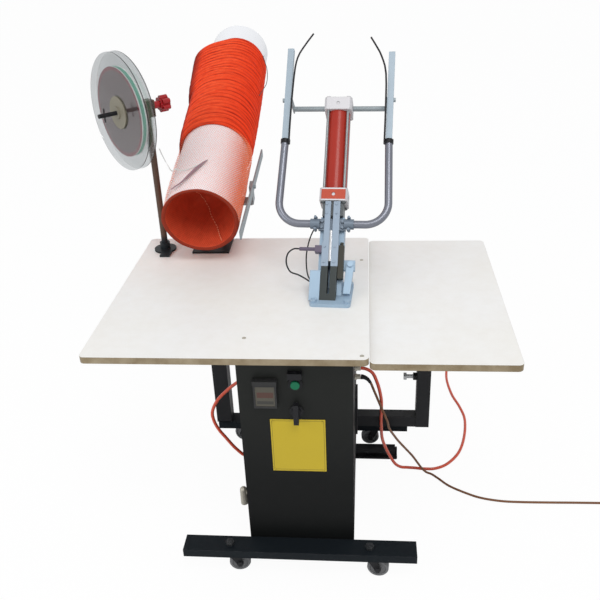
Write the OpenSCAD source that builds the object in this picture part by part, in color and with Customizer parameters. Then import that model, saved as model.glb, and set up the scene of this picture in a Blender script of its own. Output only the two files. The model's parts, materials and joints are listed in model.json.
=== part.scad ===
// Net bag clipper on a castor stand: cabinet, two work tables, net loading tube,
// tape reel and an inclined pneumatic clipper with two side magazines.
// Layout frame, in mm: X = 0 at the cabinet's middle, Y = 0 at the tables' front edge,
// Z = 0 at the floor. stand() then centres the machine over its own origin.

/* [Tables] */
// Height of the main table's top face
table_h = 603; // [560:1:680]
// Width of the main table
main_w = 590; // [540:1:640]
// Width of the right table
right_w = 300; // [240:1:340]
// Depth of both tables
table_d = 607; // [590:1:660]
// Thickness of the table boards
board_t = 15; // [12:1:22]
// Step down from the main table to the right table
right_drop = 9; // [2:1:30]
// Gap between the two tables
table_gap = 1.6; // [1:0.2:4]
// Radius of the boards' corners
corner_r = 12; // [4:1:25]
// Left edge of the main table, measured from the cabinet's middle
main_left = 436; // [400:1:460]

/* [Base] */
// Length of each base beam
beam_l = 542; // [500:1:600]
// Width of each base beam
beam_w = 48; // [42:1:52]
// Height of the beams' lips
beam_lip = 21; // [15:1:30]
// Thickness of the beams' sheet
beam_t = 3; // [2:0.5:4]
// Height of the beams' top above the floor
beam_top = 79; // [74:1:100]
// How far the beams' middle lies left of the cabinet's middle
beam_shift = 5; // [0:1:12]
// Distance between the front castors
castor_span_front = 326; // [280:1:400]
// Distance between the rear castors
castor_span_rear = 372; // [300:1:400]

/* [Castors] */
// Diameter of a castor wheel
wheel_d = 50; // [40:1:52]
// Width of a castor wheel
wheel_w = 18; // [14:1:24]
// Distance from swivel axis to wheel axle
trail = 20; // [12:1:22]
// Diameter of the castor axle
castor_axle_d = 8; // [6:0.5:10]

/* [Cabinet] */
// Width of the cabinet
cab_w = 244; // [220:1:280]
// Depth of the cabinet
cab_d = 438; // [400:1:460]
// Front face of the cabinet, behind the tables' front edge
cab_front = 43; // [40:1:60]
// Thickness of the cabinet's sheet
sheet_t = 2; // [1.2:0.2:3]
// Diameter of the door hinge pins
door_pin_d = 6; // [4:0.5:8]
// Width of the yellow plate
plate_w = 119; // [80:1:130]
// Height of the yellow plate
plate_h = 141; // [100:1:150]

/* [Table supports] */
// Side of the left post
post_side = 42; // [35:1:50]
// Side of the right bracket's bar
bar_side = 30; // [25:1:36]
// Outer side of the bracket's upright sleeve
sleeve_side = 33; // [30:1:40]
// Wall of the sleeve
sleeve_wall = 3; // [2:0.5:4]
// Reach of the bracket, from the cabinet's middle to the sleeve's axis
sleeve_x = 289; // [270:1:310]
// Height of the bracket's bar axis
bar_z = 240; // [200:1:300]
// Thread diameter of the clamp screw
clamp_d = 10; // [8:1:12]

/* [Controls] */
// Width of the counter's face
counter_w = 49; // [40:1:55]
// Height of the counter's face
counter_h = 59; // [45:1:62]
// Diameter of the push button's bezel
bezel_d = 29.5; // [26:0.5:34]
// Diameter of the push button
button_d = 19; // [15:0.5:22]
// Travel of the push button
button_travel = 4; // [2:0.5:5]

/* [Tape reel] */
// Radius of the clear side discs
disc_r = 138; // [120:1:145]
// Radius of the wound tape
tape_r = 105; // [80:1:112]
// Width of the tape
tape_w = 14; // [10:1:20]
// Thickness of a side disc
disc_t = 2; // [1.5:0.5:3]
// Height of the reel's axle above the main table
reel_h = 377; // [340:1:400]
// Angle of the axle in plan, from the tables' long side
reel_yaw = 44.5; // [35:0.5:55]
// Diameter of the reel's post
reel_post_d = 16; // [12:1:20]
// Diameter of the reel's axle
reel_axle_d = 10; // [8:1:12]

/* [Net tube] */
// Outside diameter of the plastic tube
tube_d = 180; // [160:1:186]
// Wall of the plastic tube
tube_wall = 4.5; // [3:0.5:7]
// Length of the plastic tube
tube_l = 900; // [700:5:940]
// Rise of the tube towards the back
tube_rise = 15.7; // [12:0.1:18]
// Height of the centre of the tube's mouth above the main table
mouth_h = 127; // [122:1:157]
// Thickness of the bunched net
net_t = 15; // [6:1:18]
// Start of the bunched net, measured from the mouth
net_start = 285; // [250:5:340]
// End of the bunched net, measured from the mouth
net_end = 800; // [600:5:840]

/* [Clipper] */
// Rise of the clipper's axis
tool_rise = 50; // [45:1:55]
// Turn of the clipper in plan
tool_yaw = 3.5; // [0:0.5:8]
// Side of the cylinder's end caps
cap_side = 65; // [60:1:70]
// Length of an end cap
cap_l = 31; // [26:1:36]
// Bore of the cylinder
bore_d = 50; // [40:1:52]
// Wall of the cylinder barrel
barrel_wall = 2.5; // [2:0.5:3]
// Length of the barrel between the caps
barrel_l = 197; // [180:1:240]
// Diameter of the piston rod
rod_d = 20; // [16:1:22]
// Stroke of the ram
stroke = 40; // [20:1:45]
// Diameter of the magazine tubes
mag_d = 18; // [14:1:20]
// Radius of the magazine tubes' bend
mag_bend = 52; // [45:1:60]
// Distance from the clipper's axis to a magazine tube at its widest
mag_half = 127; // [120:1:134]
// Length of the magazine channels
channel_l = 235; // [200:1:260]
// Width of a magazine channel
channel_w = 15; // [12:1:18]
// Width of the clip slot
slot_w = 7; // [6:0.5:9]

/* [Hidden] */
$fn = 48;

// Fits
run = 0.05;                 // radial clearance of a running fit
seat = 0.3;                 // clearance between neighbours that may rub

// Derived places
main_right = main_w - main_left;
right_left = main_right + table_gap;
right_end = right_left + right_w;
board_z = table_h - board_t;
right_top = table_h - right_drop;
right_z = right_top - board_t;
front_beam_y = cab_front - beam_w;
rear_beam_y = cab_front + cab_d;
cab_back = cab_front + cab_d;
beam_mid = -beam_shift;
wheel_r = wheel_d / 2;

// Reel place on the main table
reel_x = -428;
reel_y = 490;
reel_z = table_h + reel_h;
post_off = 66;              // hub to post along the axle
post_x = reel_x + post_off * cos(reel_yaw);
post_y = reel_y + post_off * sin(reel_yaw);

// Tube place
mouth_x = -254;
mouth_y = 425;
mouth_z = table_h + mouth_h;
tube_yaw = 0.8;
pivot_y = 575;              // tilt pin of the tube
pivot_drop = 78;            // tilt pin below the mouth's centre

// Clipper place
tool_x = 62;
tool_y = 228;
axis_d = 32.5;              // cylinder's axis behind the rails' front plane
cap_low = 247;              // lower face of the lower cap, along the clipper's axis
barrel_low = cap_low + cap_l;
barrel_high = barrel_low + barrel_l;
cap_high = barrel_high + cap_l;

// The machine's middle, seen from above, without its cords
reel_side = tape_w / 2 + 1 + disc_t;
x_low = min(-main_left, reel_x - disc_r * sin(reel_yaw) - reel_side * cos(reel_yaw));
x_high = right_end;
y_low = min(front_beam_y, 0);
y_high = mouth_y + (tube_l * cos(tube_rise) + tube_d / 2 * sin(tube_rise)) * cos(tube_yaw);
mid_x = (x_low + x_high) / 2;
mid_y = (y_low + y_high) / 2;

module stand() { translate([-mid_x, -mid_y, 0]) children(); }

// ---------- helpers ----------
module bar_x(x0, x1, y, z, w, h) { translate([x0, y - w / 2, z - h / 2]) cube([x1 - x0, w, h]); }
module rounded_board(w, d, t, r) {
    linear_extrude(t) hull() for (x = [r, w - r], y = [r, d - r]) translate([x, y]) circle(r, $fn = 40);
}
module hex(af, h) { cylinder(h = h, r = af / 2 / cos(30), $fn = 6); }
module along_x(x, y, z) { translate([x, y, z]) rotate([0, 90, 0]) children(); }
module along_y(x, y, z) { translate([x, y, z]) rotate([-90, 0, 0]) children(); }

// Clipper frame: Z along its axis, X across, Y into its back
module tool() {
    translate([tool_x, tool_y, table_h]) rotate([0, 0, -tool_yaw]) rotate([tool_rise - 90, 0, 0]) children();
}
// Tube frame: Z along the tube from its mouth
module tube_frame() {
    translate([mouth_x, mouth_y, mouth_z]) rotate([0, 0, tube_yaw]) rotate([tube_rise - 90, 0, 0]) children();
}
// Layout axes turned about the mouth, as the tube is in plan
module tube_plan() {
    translate([mouth_x, mouth_y, 0]) rotate([0, 0, tube_yaw]) translate([-mouth_x, -mouth_y, 0]) children();
}
// Reel frame: Z along the axle towards the front disc, origin at the hub's middle
module reel_frame() {
    translate([reel_x, reel_y, reel_z]) rotate([0, 0, reel_yaw]) rotate([0, -90, 0]) children();
}

// Sweep of a round section along a list of points
function unit(v) = v / norm(v);
function tangent(p, i) = unit(p[min(i + 1, len(p) - 1)] - p[max(i - 1, 0)]);
function side_of(t) = abs(t[2]) > 0.9 ? unit(cross(t, [1, 0, 0])) : unit(cross(t, [0, 0, 1]));
function frames(p) = [for (i = 0, s = side_of(tangent(p, 0)); i < len(p);
    i = i + 1, s = i < len(p) ? let (t = tangent(p, i)) unit(s - t * (s * t)) : s) s];
module sweep(p, r, n) {
    s = frames(p);
    rings = [for (i = [0 : len(p) - 1]) let (t = tangent(p, i), b = cross(t, s[i]))
        for (k = [0 : n - 1]) p[i] + r * (cos(360 * k / n) * s[i] + sin(360 * k / n) * b)];
    m = len(p);
    walls = [for (i = [0 : m - 2], k = [0 : n - 1]) let (a = i * n + k, b = i * n + (k + 1) % n,
        c = (i + 1) * n + (k + 1) % n, d = (i + 1) * n + k) for (f = [[a, c, b], [a, d, c]]) f];
    ends = [[for (k = [0 : n - 1]) k], [for (k = [n - 1 : -1 : 0]) (m - 1) * n + k]];
    polyhedron(points = rings, faces = concat(walls, ends), convexity = 8);
}
// Smooth curve through hand-picked points
function spline_at(a, b, c, d, t) = 0.5 * (2 * b + (c - a) * t + (2 * a - 5 * b + 4 * c - d) * t * t
    + (3 * b - a - 3 * c + d) * t * t * t);
function smooth(p, steps) = let (m = len(p)) concat([for (i = [0 : m - 2], j = [0 : steps - 1])
    spline_at(p[max(i - 1, 0)], p[i], p[i + 1], p[min(i + 2, m - 1)], j / steps)], [p[m - 1]]);
// Least gap between turns that are at least skip points apart
function least_gap(p, skip, d) = min([for (i = [0 : 1 : len(p) - skip - 1], j = [i + skip : 1 : len(p) - 1])
    norm(p[i] - p[j]) - d]);

// ---------- base and castors ----------
module channel_beam(y) {
    difference() {
        translate([beam_mid - beam_l / 2, y, beam_top - beam_lip]) cube([beam_l, beam_w, beam_lip]);
        translate([beam_mid - beam_l / 2 - 1, y + beam_t, beam_top - beam_lip - 1])
            cube([beam_l + 2, beam_w - 2 * beam_t, beam_lip - beam_t + 1]);
    }
}
stem_r = 6;
front_castor_y = front_beam_y + beam_w / 2;
rear_castor_y = rear_beam_y + beam_w / 2;
castor_places = [[beam_mid - castor_span_front / 2, front_castor_y],
    [beam_mid + castor_span_front / 2, front_castor_y],
    [beam_mid - castor_span_rear / 2, rear_castor_y],
    [beam_mid + castor_span_rear / 2, rear_castor_y]];
castor_turns = [8, -6, 165, 184];
module base_beams() {
    color("#23262b") stand() difference() {
        union() {
            channel_beam(front_beam_y);
            channel_beam(rear_beam_y);
            for (x = [-100, 100]) translate([x - 12, cab_front, beam_top - 20])
                cube([24, rear_beam_y - cab_front, 20]);
        }
        for (p = castor_places) translate([p[0], p[1], beam_top - 10]) cylinder(h = 20, r = stem_r);
    }
}
plate_low = beam_top - 17;
module castor_mounts() {
    color("#8c9094") stand() for (p = castor_places) translate([p[0], p[1], 0]) {
        translate([0, 0, beam_top - beam_t - 8]) cylinder(h = 8, r = 15);
        translate([0, 0, plate_low - 1]) cylinder(h = beam_top - plate_low + 10, r = stem_r);
        translate([0, 0, plate_low - 4]) cylinder(h = 3.7, r = 9);
        translate([0, 0, beam_top]) hex(18, 7);
    }
}
module castor_fork(i) {
    leg_y = wheel_w / 2 + 0.8;
    color("#1d1e20") stand() translate([castor_places[i][0], castor_places[i][1], 0])
    rotate([0, 0, castor_turns[i]]) {
        difference() {
            translate([0, 0, plate_low]) cylinder(h = 5, r = 17);
            translate([0, 0, plate_low - 1]) cylinder(h = 7, r = stem_r + run);
        }
        for (s = [-1, 1]) translate([0, s * (leg_y + 1.25) + 1.25, 0]) rotate([90, 0, 0]) linear_extrude(2.5)
            hull() {
                translate([-11, plate_low + 2]) square([22, 3]);
                translate([trail, wheel_r]) circle(8);
            }
        along_y(trail, -leg_y - 5, wheel_r) cylinder(h = 2 * leg_y + 10, r = castor_axle_d / 2);
        for (s = [-1, 1]) along_y(trail, s * (leg_y + 4.5) - 2, wheel_r) hex(13, 4);
    }
}
module castor_wheel(i) {
    color("#8a8c8e") stand() translate([castor_places[i][0], castor_places[i][1], 0])
    rotate([0, 0, castor_turns[i]]) along_y(trail, 0, wheel_r) rotate_extrude($fn = 64) {
        polygon([[castor_axle_d / 2 + run, -wheel_w / 2], [9, -wheel_w / 2], [10, -wheel_w / 2 + 3],
            [wheel_r - 7, -wheel_w / 2 + 3], [wheel_r - 6, -wheel_w / 2], [wheel_r - 2, -wheel_w / 2],
            [wheel_r, -wheel_w / 2 + 3], [wheel_r, wheel_w / 2 - 3], [wheel_r - 2, wheel_w / 2],
            [wheel_r - 6, wheel_w / 2], [wheel_r - 7, wheel_w / 2 - 3], [10, wheel_w / 2 - 3],
            [9, wheel_w / 2], [castor_axle_d / 2 + run, wheel_w / 2]]);
    }
}
module castor_fork_fl() { castor_fork(0); }
module castor_fork_fr() { castor_fork(1); }
module castor_fork_rl() { castor_fork(2); }
module castor_fork_rr() { castor_fork(3); }
module castor_wheel_fl() { castor_wheel(0); }
module castor_wheel_fr() { castor_wheel(1); }
module castor_wheel_rl() { castor_wheel(2); }
module castor_wheel_rr() { castor_wheel(3); }

// ---------- cabinet ----------
cab_side = cab_w / 2;
knob_x = 1.5;
button_z = table_h - 87;
selector_z = button_z - 69;
plate_top = selector_z - 23;
hinge_x = cab_side - 8;
hinge_y = cab_back + 7;
knuckle_zs = [140, 500];
latch_x = -cab_side + 32;
latch_z = 340;
module cabinet_shell() {
    color("#2b2d2b") stand() {
        difference() {
            translate([-cab_side, cab_front, beam_top]) cube([cab_w, cab_d, board_z - beam_top]);
            translate([-cab_side + sheet_t, cab_front + sheet_t, beam_top + sheet_t])
                cube([cab_w - 2 * sheet_t, cab_d - 2 * sheet_t, board_z - beam_top - 2 * sheet_t]);
            translate([-cab_side + 18, cab_back - sheet_t - 1, beam_top + 22])
                cube([cab_w - 36, sheet_t + 2, board_z - beam_top - 44]);
            for (z = [button_z, selector_z]) along_y(knob_x, cab_front - 1, z) cylinder(h = sheet_t + 2, r = 11);
        }
        for (z = knuckle_zs, e = [-1, 1]) translate([hinge_x - 4.2, cab_back, z + e * 34 - 4])
            cube([12.2, 12, 8]);
        for (z = knuckle_zs) translate([hinge_x, hinge_y, z - 38]) cylinder(h = 76, r = door_pin_d / 2);
    }
}
module rear_door() {
    color("#2b2d2b") stand() difference() {
        union() {
            translate([-cab_side + 1, cab_back + 0.4, beam_top + 4])
                cube([hinge_x - 6 + cab_side - 1, 2, board_z - beam_top - 8]);
            for (z = knuckle_zs) {
                translate([hinge_x - 14, cab_back + 0.9, z - 29.5]) cube([14, 6, 59]);
                translate([hinge_x, hinge_y, z - 29.5]) cylinder(h = 59, r = 5.4);
            }
        }
        for (z = knuckle_zs) translate([hinge_x, hinge_y, z - 40]) cylinder(h = 80, r = door_pin_d / 2 + run);
        along_y(latch_x, cab_back - 2, latch_z) cylinder(h = 8, r = 5 + run);
    }
}
module door_latch() {
    color("#b9bcc0") stand() {
        along_y(latch_x, cab_back - sheet_t - 7, latch_z) cylinder(h = sheet_t + 13, r = 5);
        along_y(latch_x, cab_back + 2.7, latch_z) cylinder(h = 5, r = 11);
        along_y(latch_x, cab_back + 7, latch_z) translate([-2, -9, 0]) cube([4, 18, 4]);
        translate([latch_x - 6, cab_back - sheet_t - 6, latch_z - 6]) cube([12, 3, 30]);
    }
}
sleeve_in = sleeve_side - 2 * sleeve_wall;
sleeve_y = 300;
sleeve_top = 400;
sleeve_low = bar_z - bar_side / 2;
clamp_z = 367;
clamp_end = sleeve_x - sleeve_side / 2;
post_mid_x = beam_mid - beam_l / 2 + post_side / 2 - 4;
module table_supports() {
    color("#1f2022") stand() {
        translate([post_mid_x - post_side / 2, rear_castor_y - post_side / 2, beam_top]) difference() {
            cube([post_side, post_side, board_z - 4 - beam_top]);
            translate([2.5, 2.5, -1]) cube([post_side - 5, post_side - 5, board_z - beam_top]);
        }
        translate([post_mid_x - 40, rear_castor_y - 40, board_z - 4]) cube([80, 80, 4]);
        translate([cab_side, sleeve_y - 30, sleeve_low - 15]) cube([6, 60, 111]);
        bar_x(cab_side + 6, clamp_end, sleeve_y, bar_z, bar_side, bar_side);
        difference() {
            translate([clamp_end, sleeve_y - sleeve_side / 2, sleeve_low])
                cube([sleeve_side, sleeve_side, sleeve_top - sleeve_low]);
            translate([clamp_end + sleeve_wall, sleeve_y - sleeve_in / 2, sleeve_low - 1])
                cube([sleeve_in, sleeve_in, sleeve_top - sleeve_low + 2]);
            along_x(clamp_end - 1, sleeve_y, clamp_z) cylinder(h = sleeve_wall + 2, r = clamp_d / 2 + run);
        }
        difference() {
            along_x(clamp_end - 9, sleeve_y, clamp_z) hex(18, 9);
            along_x(clamp_end - 10, sleeve_y, clamp_z) cylinder(h = 12, r = clamp_d / 2 + run);
        }
    }
}
post_in = sleeve_in - 1;
module table_post() {
    color("#232427") stand() {
        translate([sleeve_x - post_in / 2, sleeve_y - post_in / 2, 300]) cube([post_in, post_in, right_z - 304]);
        translate([sleeve_x - 40, sleeve_y - 40, right_z - 4]) cube([80, 80, 4]);
    }
}
module clamp_screw() {
    tip = sleeve_x - post_in / 2 - 0.3;
    color("#8f9296") stand() {
        along_x(clamp_end - 25, sleeve_y, clamp_z) cylinder(h = tip - clamp_end + 25, r = clamp_d / 2);
        along_x(clamp_end - 32, sleeve_y, clamp_z) hex(17, 7);
    }
}
module main_table() {
    color("#efece6") stand() translate([-main_left, 0, board_z]) rounded_board(main_w, table_d, board_t, corner_r);
}
module right_table() {
    color("#efece6") stand() translate([right_left, 0, right_z]) rounded_board(right_w, table_d, board_t, corner_r);
}

// ---------- front controls ----------
counter_x = -87;
counter_z = table_h - 143;
module counter() {
    color("#5b5a55") stand() difference() {
        union() {
            translate([counter_x, cab_front - 12, counter_z]) cube([counter_w, 12, counter_h]);
            translate([counter_x - 1, cab_front - 14, counter_z + counter_h]) cube([counter_w + 2, 14, 9]);
        }
        translate([counter_x + 4, cab_front - 13, counter_z + 5]) cube([counter_w - 8, 2, counter_h - 10]);
    }
}
module control_bezels() {
    color("#17181a") stand() {
        for (z = [button_z, selector_z]) difference() {
            union() {
                along_y(knob_x, cab_front - 4, z) cylinder(h = 4, r = bezel_d / 2);
                along_y(knob_x, cab_front - 1, z) cylinder(h = sheet_t + 9, r = 10.9);
                along_y(knob_x, cab_front + sheet_t, z) hex(28, 5);
            }
            along_y(knob_x, cab_front - 5, z) cylinder(h = sheet_t + 15, r = button_d / 2 + run);
        }
        translate([knob_x - 15, cab_front - 13, button_z + 17]) cube([30, 13, 15]);
    }
}
module start_button() {
    color("#0f7f5f") stand() {
        along_y(knob_x, cab_front - 4 - button_travel - 1, button_z) cylinder(h = sheet_t + 18, r = button_d / 2);
    }
}
module selector_knob() {
    color("#1a1b1d") stand() {
        along_y(knob_x, cab_front - 7, selector_z) cylinder(h = sheet_t + 16, r = button_d / 2);
        translate([knob_x - 5.5, cab_front - 20, selector_z - 24]) cube([11, 13.2, 50]);
    }
}
module rating_plate() {
    color("#cdb92f") stand() {
        translate([-57, cab_front - 1.2, plate_top - plate_h]) cube([plate_w, 1.2, plate_h]);
        for (x = [-57 + 6, -57 + plate_w - 6], z = [plate_top - plate_h + 6, plate_top - 6])
            along_y(x, cab_front - 2.2, z) cylinder(h = 1.2, r = 2.2);
    }
}
gland_l = 14;
port_y = 222;
port_zs = [440, 416];       // air inlet and mains gland
loop_y = 200;
loop_zs = [415, 190];       // both ends of the short hose
drain_y = 150;
drain_z = 120;
module cabinet_fittings() {
    color("#c4b27a") stand() {
        for (z = port_zs) along_x(cab_side, port_y, z) {
            hex(14, 6);
            cylinder(h = gland_l, r = 6);
        }
        for (z = loop_zs) along_x(-cab_side - gland_l, loop_y, z) {
            translate([0, 0, gland_l - 6]) hex(14, 6);
            cylinder(h = gland_l, r = 6);
        }
        along_x(-cab_side - 30, drain_y, drain_z) cylinder(h = 30, r = 6);
        translate([-cab_side - 30, drain_y, drain_z - 36]) cylinder(h = 42, r = 9);
        translate([-cab_side - 30, drain_y, drain_z + 6]) sphere(9, $fn = 24);
    }
}
panel_x = cab_side - sheet_t;
panel_y = 130;
panel_low = 250;
panel_w = 200;
panel_h = 230;
valve_z = panel_low + 150;
module air_panel() {
    color("#9aa0a6") stand() {
        translate([panel_x - 4, panel_y, panel_low]) cube([4, panel_w, panel_h]);
        translate([panel_x - 34, panel_y + 20, valve_z]) cube([30, 150, 50]);
        for (i = [0 : 4]) translate([panel_x - 19, panel_y + 35 + 30 * i, valve_z + 50]) cylinder(h = 18, r = 8);
        translate([panel_x - 34, panel_y + 50, valve_z - 60]) cube([30, 60, 34]);
        translate([panel_x - 24, panel_y + 80, valve_z - 120]) cylinder(h = 60, r = 17);
        translate([panel_x - 24, panel_y + 80, valve_z - 26]) cylinder(h = 16, r = 12);
    }
}
pedal_x = 115;
pedal_y = 428;
pedal_w = 122;
pedal_d = 30;
pedal_pin_y = pedal_y + pedal_d - 5;
pedal_pin_z = 17;
module pedal_base() {
    color("#1c1d1f") stand() {
        translate([pedal_x, pedal_y, 0]) rounded_board(pedal_w, pedal_d, 7, 5);
        for (x = [pedal_x, pedal_x + pedal_w - 5]) translate([x, pedal_pin_y - 5, 0]) cube([5, 10, pedal_pin_z + 5]);
        along_x(pedal_x + 1, pedal_pin_y, pedal_pin_z) cylinder(h = pedal_w - 2, r = 2.5);
        translate([pedal_x + 40, pedal_y + 12, 6]) cube([16, 9, 7]);
    }
}
module pedal_treadle() {
    color("#232426") stand() difference() {
        union() {
            translate([pedal_x + 5.6, pedal_y, 21.8]) cube([pedal_w - 11.2, pedal_d, 8]);
            along_x(pedal_x + 5.6, pedal_pin_y, pedal_pin_z) cylinder(h = pedal_w - 11.2, r = 5);
        }
        along_x(pedal_x, pedal_pin_y, pedal_pin_z) cylinder(h = pedal_w, r = 2.5 + run);
    }
}

// ---------- tape reel ----------
reel_gap = tape_w + 2;
hub_r = 40;
bore_r = reel_axle_d / 2 + run;
module reel_stand() {
    color("#6b5a4c") stand() {
        translate([post_x, post_y, table_h]) cylinder(h = 5, r = 28.5);
        translate([post_x, post_y, table_h]) cylinder(h = 22, r = reel_post_d / 2 + 5);
        translate([post_x, post_y, table_h]) cylinder(h = reel_z - table_h - 12, r = reel_post_d / 2);
        translate([post_x - 4, post_y - 50, table_h]) cube([26, 36, 5]);
        difference() {
            reel_frame() translate([-24, -14, -post_off - 14]) cube([40, 28, 28]);
            reel_frame() translate([0, 0, -post_off - 20]) cylinder(h = 40, r = reel_axle_d / 2);
        }
    }
}
module reel_axle() {
    color("#2a2b2d") stand() reel_frame() {
        translate([0, 0, -107]) cylinder(h = 107 + 62, r = reel_axle_d / 2);
        translate([0, 0, -post_off + 14]) cylinder(h = post_off - 14 - reel_gap / 2 - 8.5, r = 9);
        translate([0, 0, 47]) rotate([0, 90, 0]) translate([0, 0, -16]) cylinder(h = 32, r = 1.6);
    }
}
module reel_knob() {
    color("#b8121f") stand() reel_frame() difference() {
        union() {
            translate([0, 0, -98]) cylinder(h = 17.5, r = 9);
            translate([0, 0, -124]) cylinder(h = 26, r = 14);
            for (a = [0 : 60 : 300]) rotate([0, 0, a]) translate([14, 0, -122]) cylinder(h = 20, r = 6.5);
        }
        translate([0, 0, -108]) cylinder(h = 40, r = bore_r);
    }
}
module reel_discs() {
    color("#dfe6ea", 0.35) stand() reel_frame() for (s = [-1, 1])
        translate([0, 0, s * (reel_gap / 2 + disc_t / 2) - disc_t / 2]) difference() {
            cylinder(h = disc_t, r = disc_r, $fn = 120);
            translate([0, 0, -1]) cylinder(h = disc_t + 2, r = 14);
        }
}
module tape_roll() {
    color("#e9eeea") stand() reel_frame() difference() {
        translate([0, 0, -tape_w / 2]) cylinder(h = tape_w, r = tape_r, $fn = 100);
        translate([0, 0, -tape_w / 2 - 1]) cylinder(h = tape_w + 2, r = hub_r, $fn = 64);
    }
}
module reel_hub() {
    color("#b7b08e") stand() reel_frame() difference() {
        union() {
            translate([0, 0, -reel_gap / 2]) cylinder(h = reel_gap, r = hub_r, $fn = 64);
            translate([0, 0, -reel_gap / 2 - 8]) cylinder(h = reel_gap + 16, r = 14);
            translate([0, 0, reel_gap / 2 + disc_t]) cylinder(h = 3, r = 38);
        }
        translate([0, 0, -40]) cylinder(h = 80, r = bore_r);
    }
}

// ---------- net tube ----------
tube_r = tube_d / 2;
pivot_z = mouth_z - pivot_drop;
pin_r = 6;
saddle_w = 50;
module pvc_tube() {
    color("#e9eaf2") stand() tube_frame() difference() {
        cylinder(h = tube_l, r = tube_r, $fn = 96);
        translate([0, 0, -1]) cylinder(h = tube_l + 2, r = tube_r - tube_wall, $fn = 96);
    }
}
// The net: a thin skin drawn over the mouth, and the gathered stock further back
net_skin = 1.5;
function net_wave(i) = 1 - 0.12 * (i % 2) - 0.08 * (i % 3);
module net_sleeve() {
    steps = 16;
    back = [for (i = [0 : steps]) let (u = i / steps, e = min(1, 6 * u, 6 * (1 - u)))
        [tube_r + net_skin + (net_t - net_skin) * e * net_wave(i), net_start + (net_end - net_start) * u]];
    outline = concat([[tube_r - tube_wall - net_skin, 60], [tube_r - tube_wall - net_skin, -net_skin],
        [tube_r + net_skin, -net_skin]], back, [[tube_r, net_end], [tube_r, 0],
        [tube_r - tube_wall, 0], [tube_r - tube_wall, 60]]);
    color("#e8401c") stand() tube_frame() rotate_extrude($fn = 64) polygon(outline);
}
module tube_support() {
    color("#242527") stand() tube_plan() {
        translate([mouth_x - 48, pivot_y - 67, table_h]) cube([96, 92, 5]);
        for (s = [-1, 1]) translate([mouth_x + s * (saddle_w / 2 + 3.3) - 3, 0, 0]) {
            translate([0, pivot_y - 25, table_h]) cube([6, 50, pivot_z - table_h]);
            along_x(0, pivot_y, pivot_z) cylinder(h = 6, r = 14);
        }
        along_x(mouth_x - saddle_w / 2 - 10, pivot_y, pivot_z) cylinder(h = saddle_w + 20, r = pin_r);
    }
}
arm_x = mouth_x + tube_r + net_t - 5;
module tube_saddle() {
    sy = cos(tube_rise);
    sz = sin(tube_rise);
    color("#8d9196") stand() {
        difference() {
            union() {
                tube_plan() along_x(mouth_x - saddle_w / 2, pivot_y, pivot_z) cylinder(h = saddle_w, r = 12);
                tube_frame() translate([4 - saddle_w / 2, tube_r - 6, 110]) cube([saddle_w - 8, 28, 76]);
                tube_frame() intersection() {
                    translate([0, 0, 100]) cylinder(h = 150, r = tube_r + 4);
                    translate([-52, 60, 90]) cube([104, 50, 170]);
                }
                tube_frame() translate([0, tube_r + 2, 190]) cube([arm_x - mouth_x, 6, 30]);
            }
            tube_frame() translate([0, 0, -1]) cylinder(h = tube_l + 2, r = tube_r + net_skin, $fn = 96);
            tube_plan() along_x(mouth_x - saddle_w, pivot_y, pivot_z) cylinder(h = 2 * saddle_w, r = pin_r + run);
        }
        tube_frame() translate([arm_x - mouth_x - 4, 40, 190]) cube([8, tube_r - 34, 30]);
        translate([arm_x, 640, mouth_z + 8]) rotate([8, 0, 0]) translate([0, -252, -11]) cube([4, 462, 22]);
        translate([arm_x, 640, mouth_z + 8]) rotate([0, 90, 0]) cylinder(h = 9, r = 5);
    }
}

// ---------- clipper ----------
cap_r = cap_side / 2;
mag_y = 8.5;
mag_r = mag_d / 2;
arm_bottom = 192;           // level of the magazine tubes' lower run
arm_top = 400;
chan_x = 122.5;
lean = atan((mag_half - chan_x) / (arm_top - arm_bottom - mag_bend));
blade_w = 5.2;
rod_low = 168;
foot_t = 8;
pivot_x = 46;
pivot_l = 98;
tool_pin_r = 4;
module clipper_base() {
    color("#a9c0d6") stand() {
        translate([tool_x, tool_y, table_h]) rotate([0, 0, -tool_yaw]) {
            translate([-40, -12, 0]) rounded_board(92, 112, foot_t, 8);
            for (x = [-15, 27]) translate([x, 0, 0]) rotate([90, 0, -90]) linear_extrude(12)
                polygon([[-44, foot_t - 1], [-94, foot_t - 1], [-182, 122], [-152, 140]]);
            for (x = [-32, 44], y = [0, 88]) translate([x, y, foot_t]) hex(13, 6);
        }
        difference() {
            tool() {
                for (x = [-28, 14]) translate([x, 20, 24]) cube([14, 34, cap_low - 59]);
                translate([-28, 46, 40]) cube([56, 10, cap_low - 75]);
                translate([-44, 2, 10]) cube([24, 26, 70]);
                translate([14, 20, pivot_l - 12]) cube([pivot_x - 4, 12, 24]);
                along_y(pivot_x, 6, pivot_l) cylinder(h = 18, r = tool_pin_r);
                along_y(pivot_x, 5.6, pivot_l) hex(13, 3.7);
            }
            translate([tool_x - 150, tool_y - 100, table_h - 80]) cube([300, 350, 83]);
        }
    }
}
module die_block() {
    color("#3a3f3e") stand() difference() {
        tool() translate([-19, 0, 0]) cube([36, 20, 89.6]);
        tool() translate([-4, -1, 26]) cube([6, 22, 90]);
        translate([tool_x - 50, tool_y - 50, table_h - 40]) cube([100, 150, 40 + foot_t]);
    }
}
module clip_rails() {
    color("#6f7c88") stand() tool() {
        translate([-20, 0, 90]) cube([16, 20, 57]);
        translate([2, 0, 90]) cube([16, 20, 57]);
        translate([-17.4, 0, 146]) cube([13.4, 7.7, cap_low - 148]);
        translate([2, 0, 146]) cube([15.4, 7.7, cap_low - 148]);
        for (l = [100, 136, 216, 238], x = [-14, 9]) along_y(x, -2, l) cylinder(h = 3, r = 2.6);
    }
}
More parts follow.
